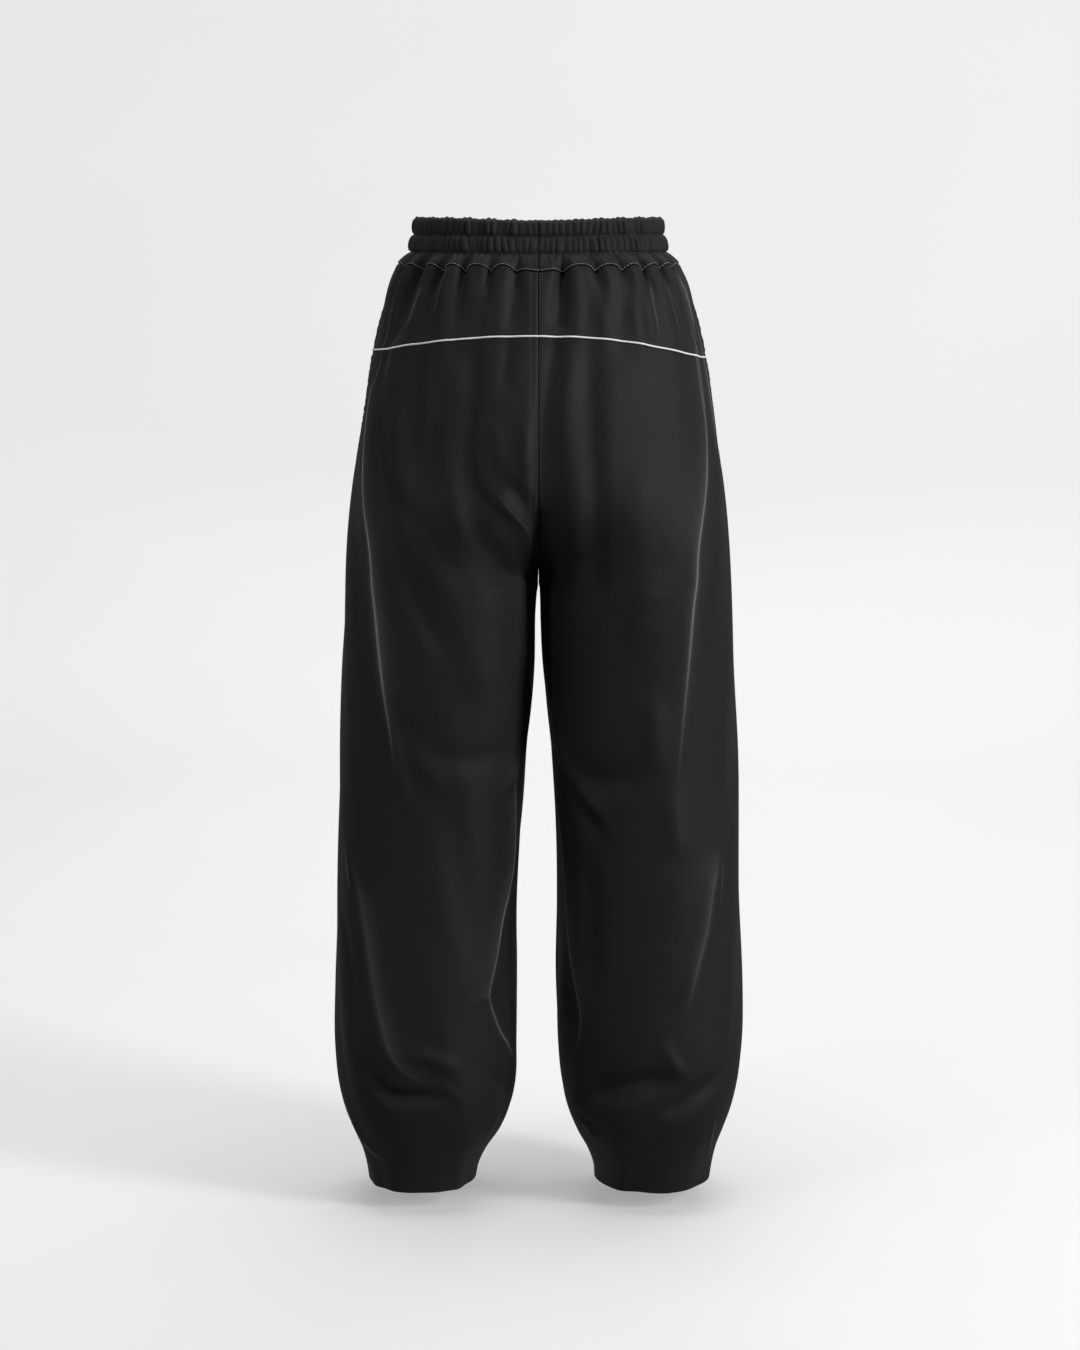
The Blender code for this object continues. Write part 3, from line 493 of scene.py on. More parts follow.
# %% Build the two halves
WAVES, WAVE_WIDTH, WAVE_LENGTH, WAVE_HEIGHT = 16, (38, 120), (150, 420), (0.10, 0.34)
WAVE_LEAN, WAVE_ROUND, WAVE_FADE = 0.2, 620, 60
PUCKERS, PUCKER_LENGTH, PUCKER_HEIGHT, PUCKER_DEPTH = 5, (7, 17), (0.3, 0.7), 0.6  # along the opening
PUCKER_REACH, PUCKER_START, RIDGE, RIDGE_AWAY, RIDGE_WIDTH = 8.0, 1.5, 0.9, 8.0, 2.2
POCKET_MIDDLE, POCKET_HALF = 160.0, 78.0


class Half:
    """One half's skin, its folds and gathers, and the lengths along it that the knit follows."""

    def __init__(self, side):
        self.side, self.sign = side, SIDES[side]
        yoke = YOKE_SIDE[side]
        upper = WAIST_SEAM + (yoke - WAIST_SEAM) * crowded(YOKE_ROWS, yoke - WAIST_SEAM)
        lower = yoke + (LENGTH - yoke) * crowded(LEG_ROWS, LENGTH - yoke)
        self.seam_row = len(upper) - 1
        rows = np.array([row_at(side, widest) for widest in (*upper, *lower[1:])])
        self.widest, self.turned = rows[:, 1], rows[:, 2][:, None]
        seam = smooth(column(SIDE_SEAM, "below"), column(SIDE_SEAM, "around"), self.widest)[:, None]
        back, front = crowded(BACK_COLUMNS, BACK_SPAN), crowded(FRONT_COLUMNS, FRONT_SPAN)
        self.seam_column = len(back) - 1
        self.around = np.concatenate([seam * back, seam + (1 - seam) * front[1:]], axis=1)
        self.bare = skin(side, self.around, rows[:, 0][:, None], rows[:, 1][:, None], self.turned)
        self.soften()
        self.below = RIM_ABOVE_HOLD - self.bare[..., 2]
        self.is_leg = self.turned[:, 0] > WHOLE_LEG
        self.out = outward(self.bare, self.sign, self.is_leg)
        self.lines = [(self.line(fold.course), fold) for fold in FOLDS[side]]
        self.across = self.run(self.bare, 1)
        self.along = self.run(self.bare, 0)

    def soften(self):
        """Rounds the bend at the crotch, where the waist rings become leg rings, away from the middle."""
        reach = np.arange(-SOFT_ROWS, SOFT_ROWS + 1)
        share = np.exp(-((reach / (SOFT_ROWS / 2)) ** 2))
        padded = np.pad(self.bare, ((SOFT_ROWS, SOFT_ROWS), (0, 0), (0, 0)), mode="edge")
        soft = sum(w * padded[k : k + len(self.bare)] for k, w in enumerate(share / share.sum()))
        aside = np.clip((np.sin(np.pi * self.around) - SOFT_FROM) / SOFT_FADE, 0, 1)
        here = np.exp(-(((self.widest - CROTCH) / SOFT_REACH) ** 4))[:, None]
        here = here * aside * aside * (3 - 2 * aside)
        self.bare += (soft - self.bare) * here[..., None]

    @staticmethod
    def run(points, axis):
        """The length along the grid's rows or columns, from its first."""
        steps = np.linalg.norm(np.diff(points, axis=axis), axis=-1)
        first = np.zeros_like(np.take(steps, [0], axis))
        return np.concatenate([first, np.cumsum(steps, axis=axis)], axis=axis)

    def line(self, course):
        """A fold's course as points on the skin: a smooth line through its places."""
        knots, (arounds, belows) = np.arange(len(course)), np.array(course).T / [[1000.0], [1.0]]
        fine = np.linspace(0.0, knots[-1], max(COURSE_STEPS, KNOT_STEPS * len(course)))
        points = []
        for place, height in zip(smooth(knots, arounds, fine), smooth(knots, belows, fine)):
            column_at = np.argmin(np.abs(self.around - place), axis=1)
            row = np.argmin(np.abs(self.below[np.arange(len(column_at)), column_at] - height))
            rows = range(max(row - 2, 0), min(row + 3, len(self.bare)))
            near = np.array([read(place, self.around[r], self.bare[r]) for r in rows])
            points.append(read(height, RIM_ABOVE_HOLD - near[:, 2], near))
        points = np.array(points)
        for _ in range(EVEN_OUT if len(course) > LONG_COURSE else 0):
            points[1:-1] = (points[:-2] + 2 * points[1:-1] + points[2:]) / 4
        return points

    def from_seam(self, at):
        """Distance of each point from the seam in a column, along its row."""
        return np.abs(self.across - self.across[:, [at]])

    def undulation(self):
        """The slight unevenness of cloth that hangs freely: long soft waves, more down than across."""
        chance = np.random.default_rng(21 if self.side == "left" else 22)
        raised = 0.0
        for _ in range(WAVES):
            width, length = chance.uniform(*WAVE_WIDTH), chance.uniform(*WAVE_LENGTH)
            phase, lean = chance.uniform(0, 2 * math.pi), chance.uniform(-WAVE_LEAN, WAVE_LEAN)
            turn = (self.around * WAVE_ROUND + lean * self.below) / width + self.below / length
            raised = raised + chance.uniform(*WAVE_HEIGHT) * np.sin(2 * math.pi * turn + phase)
        return raised * np.clip((self.below - WAIST_SEAM) / WAVE_FADE, 0, 1)

    def shape(self, other):
        """Adds the folds, gathers, waves and seams. Above the crotch the other half's folds cross over."""
        rise = self.undulation()
        self.crease_away = np.full(rise.shape, FAR)
        self.crease_rise, self.worn, most = np.zeros((3, *rise.shape))
        for lines, where in ((self.lines, 1.0), (other.lines, 1.0 - self.turned**4)):
            for line, fold in lines:
                raised, away, lift = fold_shape(self.bare, self.out, line, fold)
                rise = rise + raised * where
                # A painted highlight on the cloth beside a crest, fading away from it, kept for the
                # material's colour.
                painted_highlight = lift * where * fold.worn * np.exp(-np.abs(away) / PAINTED_GLOW_REACH)
                self.worn = np.maximum(self.worn, painted_highlight)
                sharp = lift * fold.crisp
                felt = sharp * where * np.exp(-((away / CREASE_REACH) ** 2))
                self.crease_away = np.where(felt > most, away, self.crease_away)
                self.crease_rise = np.where(felt > most, sharp, self.crease_rise)
                most = np.maximum(most, felt)
        self.crease_rise = self.crease_rise * np.exp(-((self.crease_away / CREASE_REACH) ** 4))
        half_width, half_depth = self.bare[:, self.seam_column, 0], self.bare[:, 0, 1]
        loop = math.pi * np.sqrt((half_width**2 + half_depth**2) / 2)[:, None]
        sunk, low = gather_shape(self.side, self.around, self.below, loop)
        sunk = sunk + small_gather_shape(self.side, self.around, self.below, loop)
        beside_yoke = np.abs(self.along - self.along[self.seam_row])
        stiff = STIFF_YOKE * np.exp(-((beside_yoke / STIFF_REACH) ** 2)) * (self.around < 0.5)
        sunk = sunk * (1 - stiff)
        rise = rise * (1 - stiff) - sunk * (1 - self.turned) - self.seams()
        self.points = self.bare + self.out * rise[..., None]
        near_seam = np.clip(1 - (self.below - WAIST_SEAM) / SCALLOP_FADE, 0.0, 1.0)
        self.points[..., 2] -= SCALLOP * low * near_seam
        meeting = self.sign * np.maximum(self.sign * self.points[..., 0], SEAM_GAP / 2)
        self.points[..., 0] = meeting

    def seams(self):
        """How far the cloth rolls in beside each seam, and the puckers along the pocket's opening."""
        ends = np.minimum(self.from_seam(0), self.from_seam(-1))
        side_seam = self.from_seam(self.seam_column)
        yoke = np.abs(self.along - self.along[self.seam_row])
        yoke[:, self.seam_column + 1 :] = np.inf
        waist = np.maximum(self.along, 0.0)
        sink = sum(np.exp(-((away / SEAM_ROLL) ** 2)) for away in (ends, side_seam, yoke, waist))
        pocket = np.exp(-(((self.widest - POCKET_MIDDLE) / POCKET_HALF) ** 6))[:, None]
        chance = np.random.default_rng(31)
        heights = chance.uniform(*PUCKER_HEIGHT, PUCKERS)
        lengths, phases = chance.uniform(*PUCKER_LENGTH, PUCKERS), chance.uniform(0, 6, PUCKERS)
        waves = sum(height * np.sin(2 * math.pi * self.widest / length + phase)
                    for height, length, phase in zip(heights, lengths, phases))[:, None]
        pucker = waves * pocket * np.exp(-side_seam / PUCKER_REACH) * np.clip(side_seam / PUCKER_START, 0, 1)
        ridge = RIDGE * pocket * np.exp(-(((side_seam - RIDGE_AWAY) / RIDGE_WIDTH) ** 2))
        return SEAM_SINK * sink + PUCKER_DEPTH * pucker - ridge


halves = {side: Half(side) for side in SIDES}
for side, half in halves.items():
    half.shape(halves["left" if side == "right" else "right"])
    print(side, "half:", half.points.shape[:2], "points")

# %% [markdown]
# ## Sheets of cloth
# A panel starts as a flat grid, as it is cut, and each of its points then moves to its place on the
# shaped skin. Its UV map keeps the lengths of the cloth in metres, so the knit has its true size
# and follows the panel. A Solidify modifier gives the sheet its wall, inwards, and a little bevel
# rounds the cut edges.

# %% Turn a grid of points into a sheet
EDGE_ROUND, EDGE_STEPS, SHARP = 0.45, 2, math.radians(50)


def activate(piece):
    bpy.ops.object.select_all(action="DESELECT")
    piece.select_set(True)
    bpy.context.view_layer.objects.active = piece


def edit(piece, *steps):
    """Runs mesh operators, each with its settings, on all of a piece."""
    activate(piece)
    bpy.ops.object.mode_set(mode="EDIT")
    bpy.ops.mesh.select_all(action="SELECT")
    for step, settings in steps:
        step(**settings)
    bpy.ops.object.mode_set(mode="OBJECT")


def grid_mesh(name, points, across, along):
    """A grid primitive whose vertices are moved to points, with its UV map in metres."""
    rows, columns = points.shape[:2]
    bpy.ops.mesh.primitive_grid_add(x_subdivisions=columns - 1, y_subdivisions=rows - 1, size=1.0)
    piece = bpy.context.object
    piece.name = piece.data.name = name
    flat = np.zeros(len(piece.data.vertices) * 3)
    piece.data.vertices.foreach_get("co", flat)
    flat = flat.reshape(-1, 3)
    j = np.rint((flat[:, 0] + 0.5) * (columns - 1)).astype(int)
    i = np.rint((0.5 - flat[:, 1]) * (rows - 1)).astype(int)
    piece.data.vertices.foreach_set("co", (points[i, j] * MM).ravel())
    corner = np.zeros(len(piece.data.loops), dtype=np.int32)
    piece.data.loops.foreach_get("vertex_index", corner)
    places = np.stack([across[i, j], -along[i, j]], axis=-1)[corner] * MM
    piece.data.uv_layers.active.data.foreach_set("uv", places.ravel())
    piece.data.update()
    return piece, (i, j)


def keep(piece, at, **values):
    """Keeps a number for each point of a piece, for its material to read."""
    for name, grid in values.items():
        made = piece.data.attributes.new(name, "FLOAT", "POINT")
        made.data.foreach_set("value", np.ascontiguousarray(grid[at], dtype=np.float32))


def face_outwards(piece, out, at):
    """Turns the faces if they look into the hollow."""
    normals = np.zeros(len(piece.data.vertices) * 3)
    piece.data.vertices.foreach_get("normal", normals)
    if np.sum(normals.reshape(-1, 3) * out[at]) < 0:
        edit(piece, (bpy.ops.mesh.flip_normals, {}))


def close_up(piece):
    """Merges the edges that a rolled grid brings together, and turns its faces outwards."""
    edit(piece, (bpy.ops.mesh.remove_doubles, {"threshold": 1e-6}),
         (bpy.ops.mesh.normals_make_consistent, {"inside": False}))
    bpy.ops.object.shade_smooth()


def add_wall(piece, wall, offset=-1.0, group=""):
    """Gives a sheet its wall: inwards, or to both sides where the offset is 0."""
    activate(piece)
    solid = piece.modifiers.new("wall", "SOLIDIFY")
    solid.thickness, solid.offset, solid.vertex_group = wall * MM, offset, group
    bpy.ops.object.modifier_apply(modifier=solid.name)


def thicken(piece, wall, at):
    """Gives a sheet its wall, inwards, by a row's thickness, and rounds its cut edges."""
    group = piece.vertex_groups.new(name="wall")
    share = wall / wall.max()
    for value in np.unique(share):
        members = np.flatnonzero(share[at[0]] == value)
        group.add(members.tolist(), float(value), "REPLACE")
    add_wall(piece, wall.max(), group=group.name)
    edge = piece.modifiers.new("edge", "BEVEL")
    edge.width, edge.segments = EDGE_ROUND * MM, EDGE_STEPS
    edge.limit_method, edge.angle_limit = "ANGLE", SHARP
    bpy.ops.object.modifier_apply(modifier=edge.name)
    piece.vertex_groups.clear()
    bpy.ops.object.shade_smooth_by_angle(angle=SHARP)


def measure(piece):
    """A sheet's area in square metres, of its two faces together, halved."""
    return round(sum(face.area for face in piece.data.polygons) / 2, 4)


DRAW_REACH, DRAW_LIMIT, DRAW_INNER = 4.0, 30.0, 4  # millimetres, and the place inwards that gives the way


def draw_back(points, first, last, top, bottom):
    """Draws a grid's edges back from its seams by the given gaps, and what lies near them with them."""
    moved = points.copy()
    for axis, end, gap in ((1, 0, first), (1, -1, last), (0, 0, top), (0, -1, bottom)):
        edge = np.take(points, end, axis)
        inner = np.take(points, DRAW_INNER if end == 0 else end - DRAW_INNER, axis)
        way = (inner - edge) / np.linalg.norm(inner - edge, axis=-1, keepdims=True)
        away = np.linalg.norm(points - np.expand_dims(edge, axis), axis=-1)
        gap = np.expand_dims(np.broadcast_to(gap, edge.shape[:1]), axis)
        share = gap * np.exp(-away / DRAW_REACH) * (away < DRAW_LIMIT)
        moved += np.expand_dims(way, axis) * share[..., None]
    return moved


# %% [markdown]
# ## The panels
# Each half has a back yoke above the piping, a back leg below it and a front from waist to hem. The
# side edges part a little along the pocket's opening. The last 25 mm of each leg has a second layer
# inside, the turned hem, so the wall is thicker there.

# %% Make the six panels
POCKET_TOP, POCKET_END, POCKET_MOUTH, MOUTH_ENDS = 93.0, 245.0, 1.8, 2.0
panels = {}
for side, half in halves.items():
    opens, shuts = (half.widest - POCKET_TOP) / MOUTH_ENDS, (half.widest - POCKET_END) / MOUTH_ENDS
    mouth = 1 / (1 + np.exp(-opens)) / (1 + np.exp(shuts))
    side_gap = SEAM_GAP / 2 + mouth * (POCKET_MOUTH - SEAM_GAP) / 2
    wall = np.where(half.widest >= HEM_TOP, HEM_WALL, CLOTH)
    gap, seam, last = SEAM_GAP / 2, half.seam_row, half.seam_column
    cuts = (
        ("back_yoke_", slice(0, seam + 1), slice(0, last + 1), gap, side_gap[: seam + 1], gap),
        ("back_leg_", slice(seam, None), slice(0, last + 1), gap, side_gap[seam:], 0.0),
        ("front_", slice(0, None), slice(last, None), side_gap, gap, 0.0),
    )
    for name, rows, columns, first, end, bottom in cuts:
        here = (rows, columns)
        across, along = half.across[here], half.along[here]
        points = draw_back(half.points[here], first, end, gap, bottom)
        piece, at = grid_mesh("cloth_" + name + side, points, across, along)
        # Kept for the material: where the fine crease and its painted crest highlight lie, and the painted
        # highlight beside a crest.
        keep(piece, at, crease_away=half.crease_away[here], crease_rise=half.crease_rise[here],
             worn=half.worn[here])
        face_outwards(piece, half.out[here], at)
        thicken(piece, wall[rows], at)
        panels[name + side] = piece

# %% [markdown]
# ## The elastic waistband
# The band is one strip folded over a wide elastic. Two rows of stitches through both squeeze it
# into three tiers, and where the elastic pulls it short the strip stands up in ribs about seven
# millimetres apart. The ribs start anew in each tier, and they are flatter beside the seam at the
# centre back. The profile is written once, as a closed loop from the rim down the outside and up
# the inside, and is then carried round the waist.

# %% The band's sizes
Tier = namedtuple("Tier", "top bottom width_top width_bottom bulge rib shift")
TIERS = (Tier(1.6, 17.5, 125.6, 126.0, 2.2, 2.8, 0.0), Tier(17.5, 35.0, 126.0, 129.4, 3.0, 3.2, 0.37))
LOWER_TIER = Tier(35.0, WAIST_SEAM, 129.4, 0.0, 1.9, 2.4, 0.71)
BAND_MIDDLE, BAND_DEEPER = 128.0, 33.0  # half its width halfway up, and how much less its half depth is
BAND_INSIDE = ((35.0, 127.0), (26.0, 126.0), (15.0, 123.4), (4.0, 122.4))
RIM_TOP = ((0.4, 124.6), (0.0, 123.6), (0.5, 122.6))
BAND_COLUMNS, TIER_STEPS, RIBS = 1240, 13, 106
RIM_RIB, BAND_CLOSER = 1.9, 0.55  # the ribs on the rim, and how much closer columns lie at the back
RIB_MIDDLE, RIB_ROUND, RIB_HEIGHT, RIB_UNEVEN = 0.55, 0.55, 0.72, 0.16
RIB_SHIFT, RIB_LEAN = (0.02, 0.09), (0.1, 0.3)
SHIFT_WAVES, HEIGHT_WAVES, LEAN_WAVES = (5, 31), (9, 37), (3, 19)  # how many go round the band


def ring(sign, around, half_width, below):
    """One ring of the band, with the dip of its top edge at the back and the front."""
    x, y = half_ring(sign, half_width, half_width - BAND_DEEPER, half_width - BAND_DEEPER, around)
    back_dip = RIM_DIP * np.exp(-((x / RIM_DIP_WIDTH) ** 2))
    dip = np.where(around < 0.5, back_dip, RIM_FRONT_DIP * np.cos(np.pi * around) ** 2)
    return np.stack([x, y, RIM_ABOVE_HOLD - (below + dip * (1 - below / WAIST_SEAM))], axis=-1)


def band_places():
    """(sign, around, length along the band) of its columns: even, but twice as close at the centre back."""
    fine = np.linspace(0.0, 2.0, 6001)
    sign, around = np.where(fine <= 1.0, 1.0, -1.0), np.where(fine <= 1.0, fine, 2.0 - fine)
    steps = np.linalg.norm(np.diff(ring(sign, around, BAND_MIDDLE, 0.0), axis=0), axis=-1)
    length = np.concatenate([[0.0], np.cumsum(steps)])
    share = np.linspace(0.0, 1.0, BAND_COLUMNS + 1)
    along = length[-1] * (share - BAND_CLOSER / (2 * math.pi) * np.sin(2 * math.pi * share))
    place = np.interp(along, length, fine)
    return np.where(place <= 1.0, 1.0, -1.0), np.where(place <= 1.0, place, 2.0 - place), along


def wave(chance, counts, along, length):
    """A whole number of even waves round the band."""
    return np.sin(2 * math.pi * chance.integers(*counts) * along / length + chance.uniform(0, 6))


def ribs(along, length, shift, lean):
    """Rounded ribs with sharp valleys, from 0 to 1, of uneven width and height."""
    chance = np.random.default_rng(int(100 * shift) + 5)
    turn = along / length * RIBS + shift
    for _ in range(6):
        turn = turn + chance.uniform(*RIB_SHIFT) * wave(chance, SHIFT_WAVES, along, length)
    turn = turn + lean
    waves = sum(RIB_UNEVEN * wave(chance, HEIGHT_WAVES, along, length) for _ in range(3))
    return (RIB_HEIGHT + waves) * np.abs(np.sin(math.pi * turn)) ** RIB_ROUND


# %% Make the waistband
sign, around, along = band_places()
length = along[-1]
middle = ring(sign, around, BAND_MIDDLE, 0.0)
onward = np.gradient(middle, axis=0)
onward[0] = onward[-1] = middle[1] - middle[-2]
band_out = np.stack([onward[:, 1], -onward[:, 0], np.zeros(len(onward))], axis=-1)
band_out /= np.linalg.norm(band_out, axis=-1, keepdims=True)
from_back = np.minimum(along, length - along)
CALM, CALM_REACH, GROOVE_DEPTH, GROOVE_WIDTH = 0.45, 15.0, 1.5, 0.9  # beside the seam at the centre back
RIB_EDGE, LOWER_EDGE, LOWER_FADE, BAND_LIFT = 0.3, 0.5, 0.85, 0.15  # ribs beside stitches, and seam lift
calm = CALM + (1 - CALM) * (1 - np.exp(-((from_back / CALM_REACH) ** 2)))
seam_groove = GROOVE_DEPTH * np.exp(-((from_back / GROOVE_WIDTH) ** 2))


def seam_ring(inwards):
    """The waist seam's line, from the two halves' top rows."""
    line = np.zeros((len(around), 3))
    for side, half in halves.items():
        mine = sign == half.sign
        line[mine] = read(around[mine], half.around[0], half.points[0] + half.out[0] * (SEAM_SINK - inwards))
    line[[0, -1]] = (line[[0]] + line[[-1]]) / 2
    return line + np.array([0.0, 0.0, SEAM_GAP / 2 + BAND_LIFT])


def tier_rows(tier, steps, lower=None):
    """The rows of one tier: it swells between its two rows of stitches, and its ribs fade into them."""
    chance = np.random.default_rng(int(10 * tier.top))
    lean_wave = sum(chance.uniform(*RIB_LEAN) * wave(chance, LEAN_WAVES, along, length) for _ in range(4))
    rows = []
    for share in np.linspace(0.0, 1.0, steps, endpoint=False):
        swell = math.sqrt(max(0.0, 1 - (2 * share - 1) ** 2))
        base = ring(sign, around, tier.width_top + share * (tier.width_bottom - tier.width_top),
                    tier.top + share * (tier.bottom - tier.top))
        if lower is not None:
            top = ring(sign, around, tier.width_top, tier.top)
            base = top + share * (lower - top)
        rib = ribs(along, length, tier.shift, lean_wave * (share - 0.5)) - RIB_MIDDLE
        strength = RIB_EDGE + (1 - RIB_EDGE) * swell
        if lower is not None:
            strength = (1 - LOWER_FADE * share) * (LOWER_EDGE + (1 - LOWER_EDGE) * swell)
        reach = tier.bulge * swell + tier.rib * calm * rib * strength - seam_groove
        rows.append(base + band_out * reach[:, None])
    return rows


# Its raw edge inside the panels, the ribs on its inner face, and the cloth for each length of ring.
ALLOWANCE, INSIDE_RIB, FULLNESS = 7.0, 0.5, 1.22
INWARDS = (0.2, 4.0, 5.2)  # where its lower end turns in, and the two faces of its raw edge
seam_out, seam_in, edge_in = map(seam_ring, INWARDS)
down = np.array([0.0, 0.0, -ALLOWANCE])
outside = tier_rows(TIERS[0], TIER_STEPS) + tier_rows(TIERS[1], TIER_STEPS)
outside += tier_rows(LOWER_TIER, TIER_STEPS, seam_out)
inside_ribs = INSIDE_RIB * calm * (ribs(along, length, 0.2, 0.0) - 0.5)
inside = [ring(sign, around, width, below) + band_out * inside_ribs[:, None] for below, width in BAND_INSIDE]
rim_ribs = RIM_RIB * calm * (ribs(along, length, TIERS[0].shift, 0.0) - RIB_MIDDLE)
rim = [ring(sign, around, width, below) + rim_ribs[:, None] * np.array([0.0, 0.0, 1.0])
       for below, width in reversed(RIM_TOP)]
profile = [*outside, seam_out, seam_in, seam_in + down, edge_in + down, edge_in, *inside, *rim]
band_grid = np.stack([*profile, outside[0]])
lengths = np.broadcast_to(along * FULLNESS, band_grid.shape[:2])
waistband, _ = grid_mesh("cloth_waistband", band_grid, lengths, Half.run(band_grid, 0))
close_up(waistband)
print("waistband", len(waistband.data.polygons), "faces,", round(float(length)), "mm,", measure(waistband))

# %% [markdown]
# ## Piping
# Piping is a thin white cord in a strip of cloth, caught in the yoke's seam so that only its round
# edge shows. It is a grid rolled into a tube along the seam. It lies in the furrow between the yoke
# and the leg, and both its ends are closed and rounded where the side seams cross it.

# %% Make the piping
PIPING_DIAMETER, PIPING_LIFT, PIPING_SIDES = 1.8, 1.2, 16
TIP_REACH, TIP_SIZE = ((0.0,), (0.55,), (0.9,)), (1.0, 0.8, 0.0)  # its rounded ends, in radii


def tube(name, path, out, radius, sides):
    """A closed tube round a path, with rounded ends, and its UV map in metres."""
    onward = np.gradient(path, axis=0)
    onward /= np.linalg.norm(onward, axis=-1, keepdims=True)
    aside = np.cross(onward, out)
    aside /= np.linalg.norm(aside, axis=-1, keepdims=True)
    up = np.cross(aside, onward)
    start, end = (path[[k]] + onward[[k]] * radius * np.array(TIP_REACH) * way
                  for k, way in ((0, -1.0), (-1, 1.0)))
    spine = np.concatenate([start[::-1], path[1:-1], end])
    size = radius * np.array([*TIP_SIZE[::-1], *[1.0] * (len(path) - 2), *TIP_SIZE])
    frames = [np.concatenate([v[[0, 0, 0]], v[1:-1], v[[-1, -1, -1]]]) for v in (aside, up)]
    turn = np.linspace(0.0, 2 * math.pi, sides + 1)[:, None, None]
    points = spine + size[:, None] * (np.cos(turn) * frames[0] + np.sin(turn) * frames[1])
    piece, _ = grid_mesh(name, points, Half.run(points, 1), Half.run(points, 0))
    close_up(piece)
    return piece


paths, outs = [], []
for half, order in ((halves["left"], slice(None, 0, -1)), (halves["right"], slice(None))):
    row, back = half.seam_row, slice(0, half.seam_column + 1)
    paths.append((half.points[row] + half.out[row] * PIPING_LIFT)[back][order])
    outs.append(half.out[row][back][order])
piping = tube("cord_in_seam", np.concatenate(paths), np.concatenate(outs), PIPING_DIAMETER / 2, PIPING_SIDES)
print("piping", len(piping.data.polygons), "faces")

# %% [markdown]
# ## Pocket bags
# Behind each side seam hangs a flat bag, folded at its front end. Its outer layer lies on the
# inside of the front panel, and its inner layer reaches back under the edge of the leg, so a hand
# that goes in at the seam meets it.

# %% Make the pocket bags
POCKET_WALL, POCKET_ROOM, POCKET_SEWN = 0.9, 2.0, 0.3
POCKET_REACH, POCKET_SHARE = (90.0, 318.0), 0.53
POCKET_BACK, POCKET_RISE = 9, 0.3  # where its inner layer ends: columns behind the seam, share of the room
pockets = {}
for side, half in halves.items():
    rows = np.flatnonzero((half.widest > POCKET_REACH[0]) & (half.widest < POCKET_REACH[1]))[::2]
    front = len(half.around[0]) - 1 - half.seam_column
    columns = half.seam_column + np.arange(0, int(front * POCKET_SHARE), 2)
    room = POCKET_SEWN + (POCKET_ROOM - POCKET_SEWN) * np.sin(np.linspace(0.0, np.pi, len(rows))) ** 0.5
    near = CLOTH + 2 * SEAM_GAP + POCKET_WALL / 2
    far = near + POCKET_WALL + room
    spots = [(c, near + 0 * far) for c in columns] + [(columns[-1] + 1, (near + far) / 2)]
    spots += [(c, far) for c in columns[::-1]]
    spots += [(half.seam_column - POCKET_BACK, near + POCKET_RISE * (far - near))]
    lines = [half.points[rows, c] - half.out[rows, c] * depth[:, None] for c, depth in spots]
    points = np.stack(lines, axis=1)
    pocket, _ = grid_mesh("bag_" + side, points, Half.run(points, 1), Half.run(points, 0))
    add_wall(pocket, POCKET_WALL, offset=0.0)
    bpy.ops.object.shade_smooth_by_angle(angle=SHARP)
    pockets[side] = pocket
    print(pocket.name, len(pocket.data.polygons), "faces,", measure(pocket))

# %% [markdown]
# ## Seam allowances
# Where two panels are sewn together, their raw edges stay inside as a narrow double strip. It can't
# be seen from outside, but it shuts the seam, so no light comes through. Each strip is a narrow
# grid on the inside of its seam.

# %% Make the strips inside the seams
STRIP_WALL, STRIP_CLEAR = 0.8, 0.7
STRIP_OFFSETS = (6.0, 3.5, 1.5, 0.3)
FORK_CLEAR, FORK_END, STRIP_TOP, ABOVE_POCKET, BELOW_POCKET = 12.0, 3.0, 2.0, 2.0, 4.0


def inside_of(half, column_at, way, distance, rows):
    """Points on the inside of the cloth, at a distance to one side of the seam in a column."""
    away = (half.across - half.across[:, [column_at]]) * way
    depth = np.where(half.widest >= HEM_TOP, HEM_WALL, CLOTH) + STRIP_CLEAR
    inner = half.points - half.out * depth[:, None, None]
    order = slice(None, None, int(way))
    return np.array([read(distance, away[r, order], inner[r, order]) for r in rows])


def strip(name, side_a, side_b, rows):
    """One strip over a seam, from its row A edge to its row B edge."""
    points = [inside_of(*side_a, distance, rows) for distance in STRIP_OFFSETS]
    points += [inside_of(*side_b, distance, rows) for distance in reversed(STRIP_OFFSETS)]
    points = np.stack(points, axis=1)
    piece, at = grid_mesh(name, points, Half.run(points, 1), Half.run(points, 0))
    face_outwards(piece, side_a[0].out[rows, side_a[1]][:, None] + 0 * points, at)
    add_wall(piece, STRIP_WALL)
    bpy.ops.object.shade_smooth_by_angle(angle=SHARP)
    return piece


strips = {}
left, right = halves["left"], halves["right"]
middle = left.below[:, 0]
trunk = np.flatnonzero((middle > WAIST_SEAM + STRIP_TOP) & (middle < CROTCH - FORK_END))[::2]
strips["back"] = strip("allowance_back", (left, 0, 1.0), (right, 0, 1.0), trunk)
strips["front"] = strip("allowance_front", (left, -1, -1.0), (right, -1, -1.0), trunk)
STRIP_SPANS = (("top", WAIST_SEAM + STRIP_TOP, POCKET_REACH[0] - ABOVE_POCKET),
               ("side", POCKET_REACH[1] + BELOW_POCKET, LENGTH))
for side, half in halves.items():
    leg = np.flatnonzero(half.widest > CROTCH + FORK_CLEAR)[::2]
    strips["inseam_" + side] = strip("allowance_inseam_" + side, (half, 0, 1.0), (half, -1, -1.0), leg)
    at_side = half.seam_column
    for part, low, high in STRIP_SPANS:
        rows = np.flatnonzero((half.widest > low) & (half.widest <= high))[::2]
        name = f"{part}_{side}"
        strips[name] = strip("allowance_" + name, (half, at_side, -1.0), (half, at_side, 1.0), rows)
print("strips:", len(strips), "with", sum(len(piece.data.polygons) for piece in strips.values()), "faces")

# %% [markdown]
# ## Stitches
# A row of machine stitches is a line of small beads of thread, each drawn into the cloth at both
# its ends. One bead is shaped from a sphere, and it is copied along each seam that shows its
# thread: the two rows in the waistband, the row that holds the gathers, the double rows along the
# seat seam and the two rows beside each pocket.

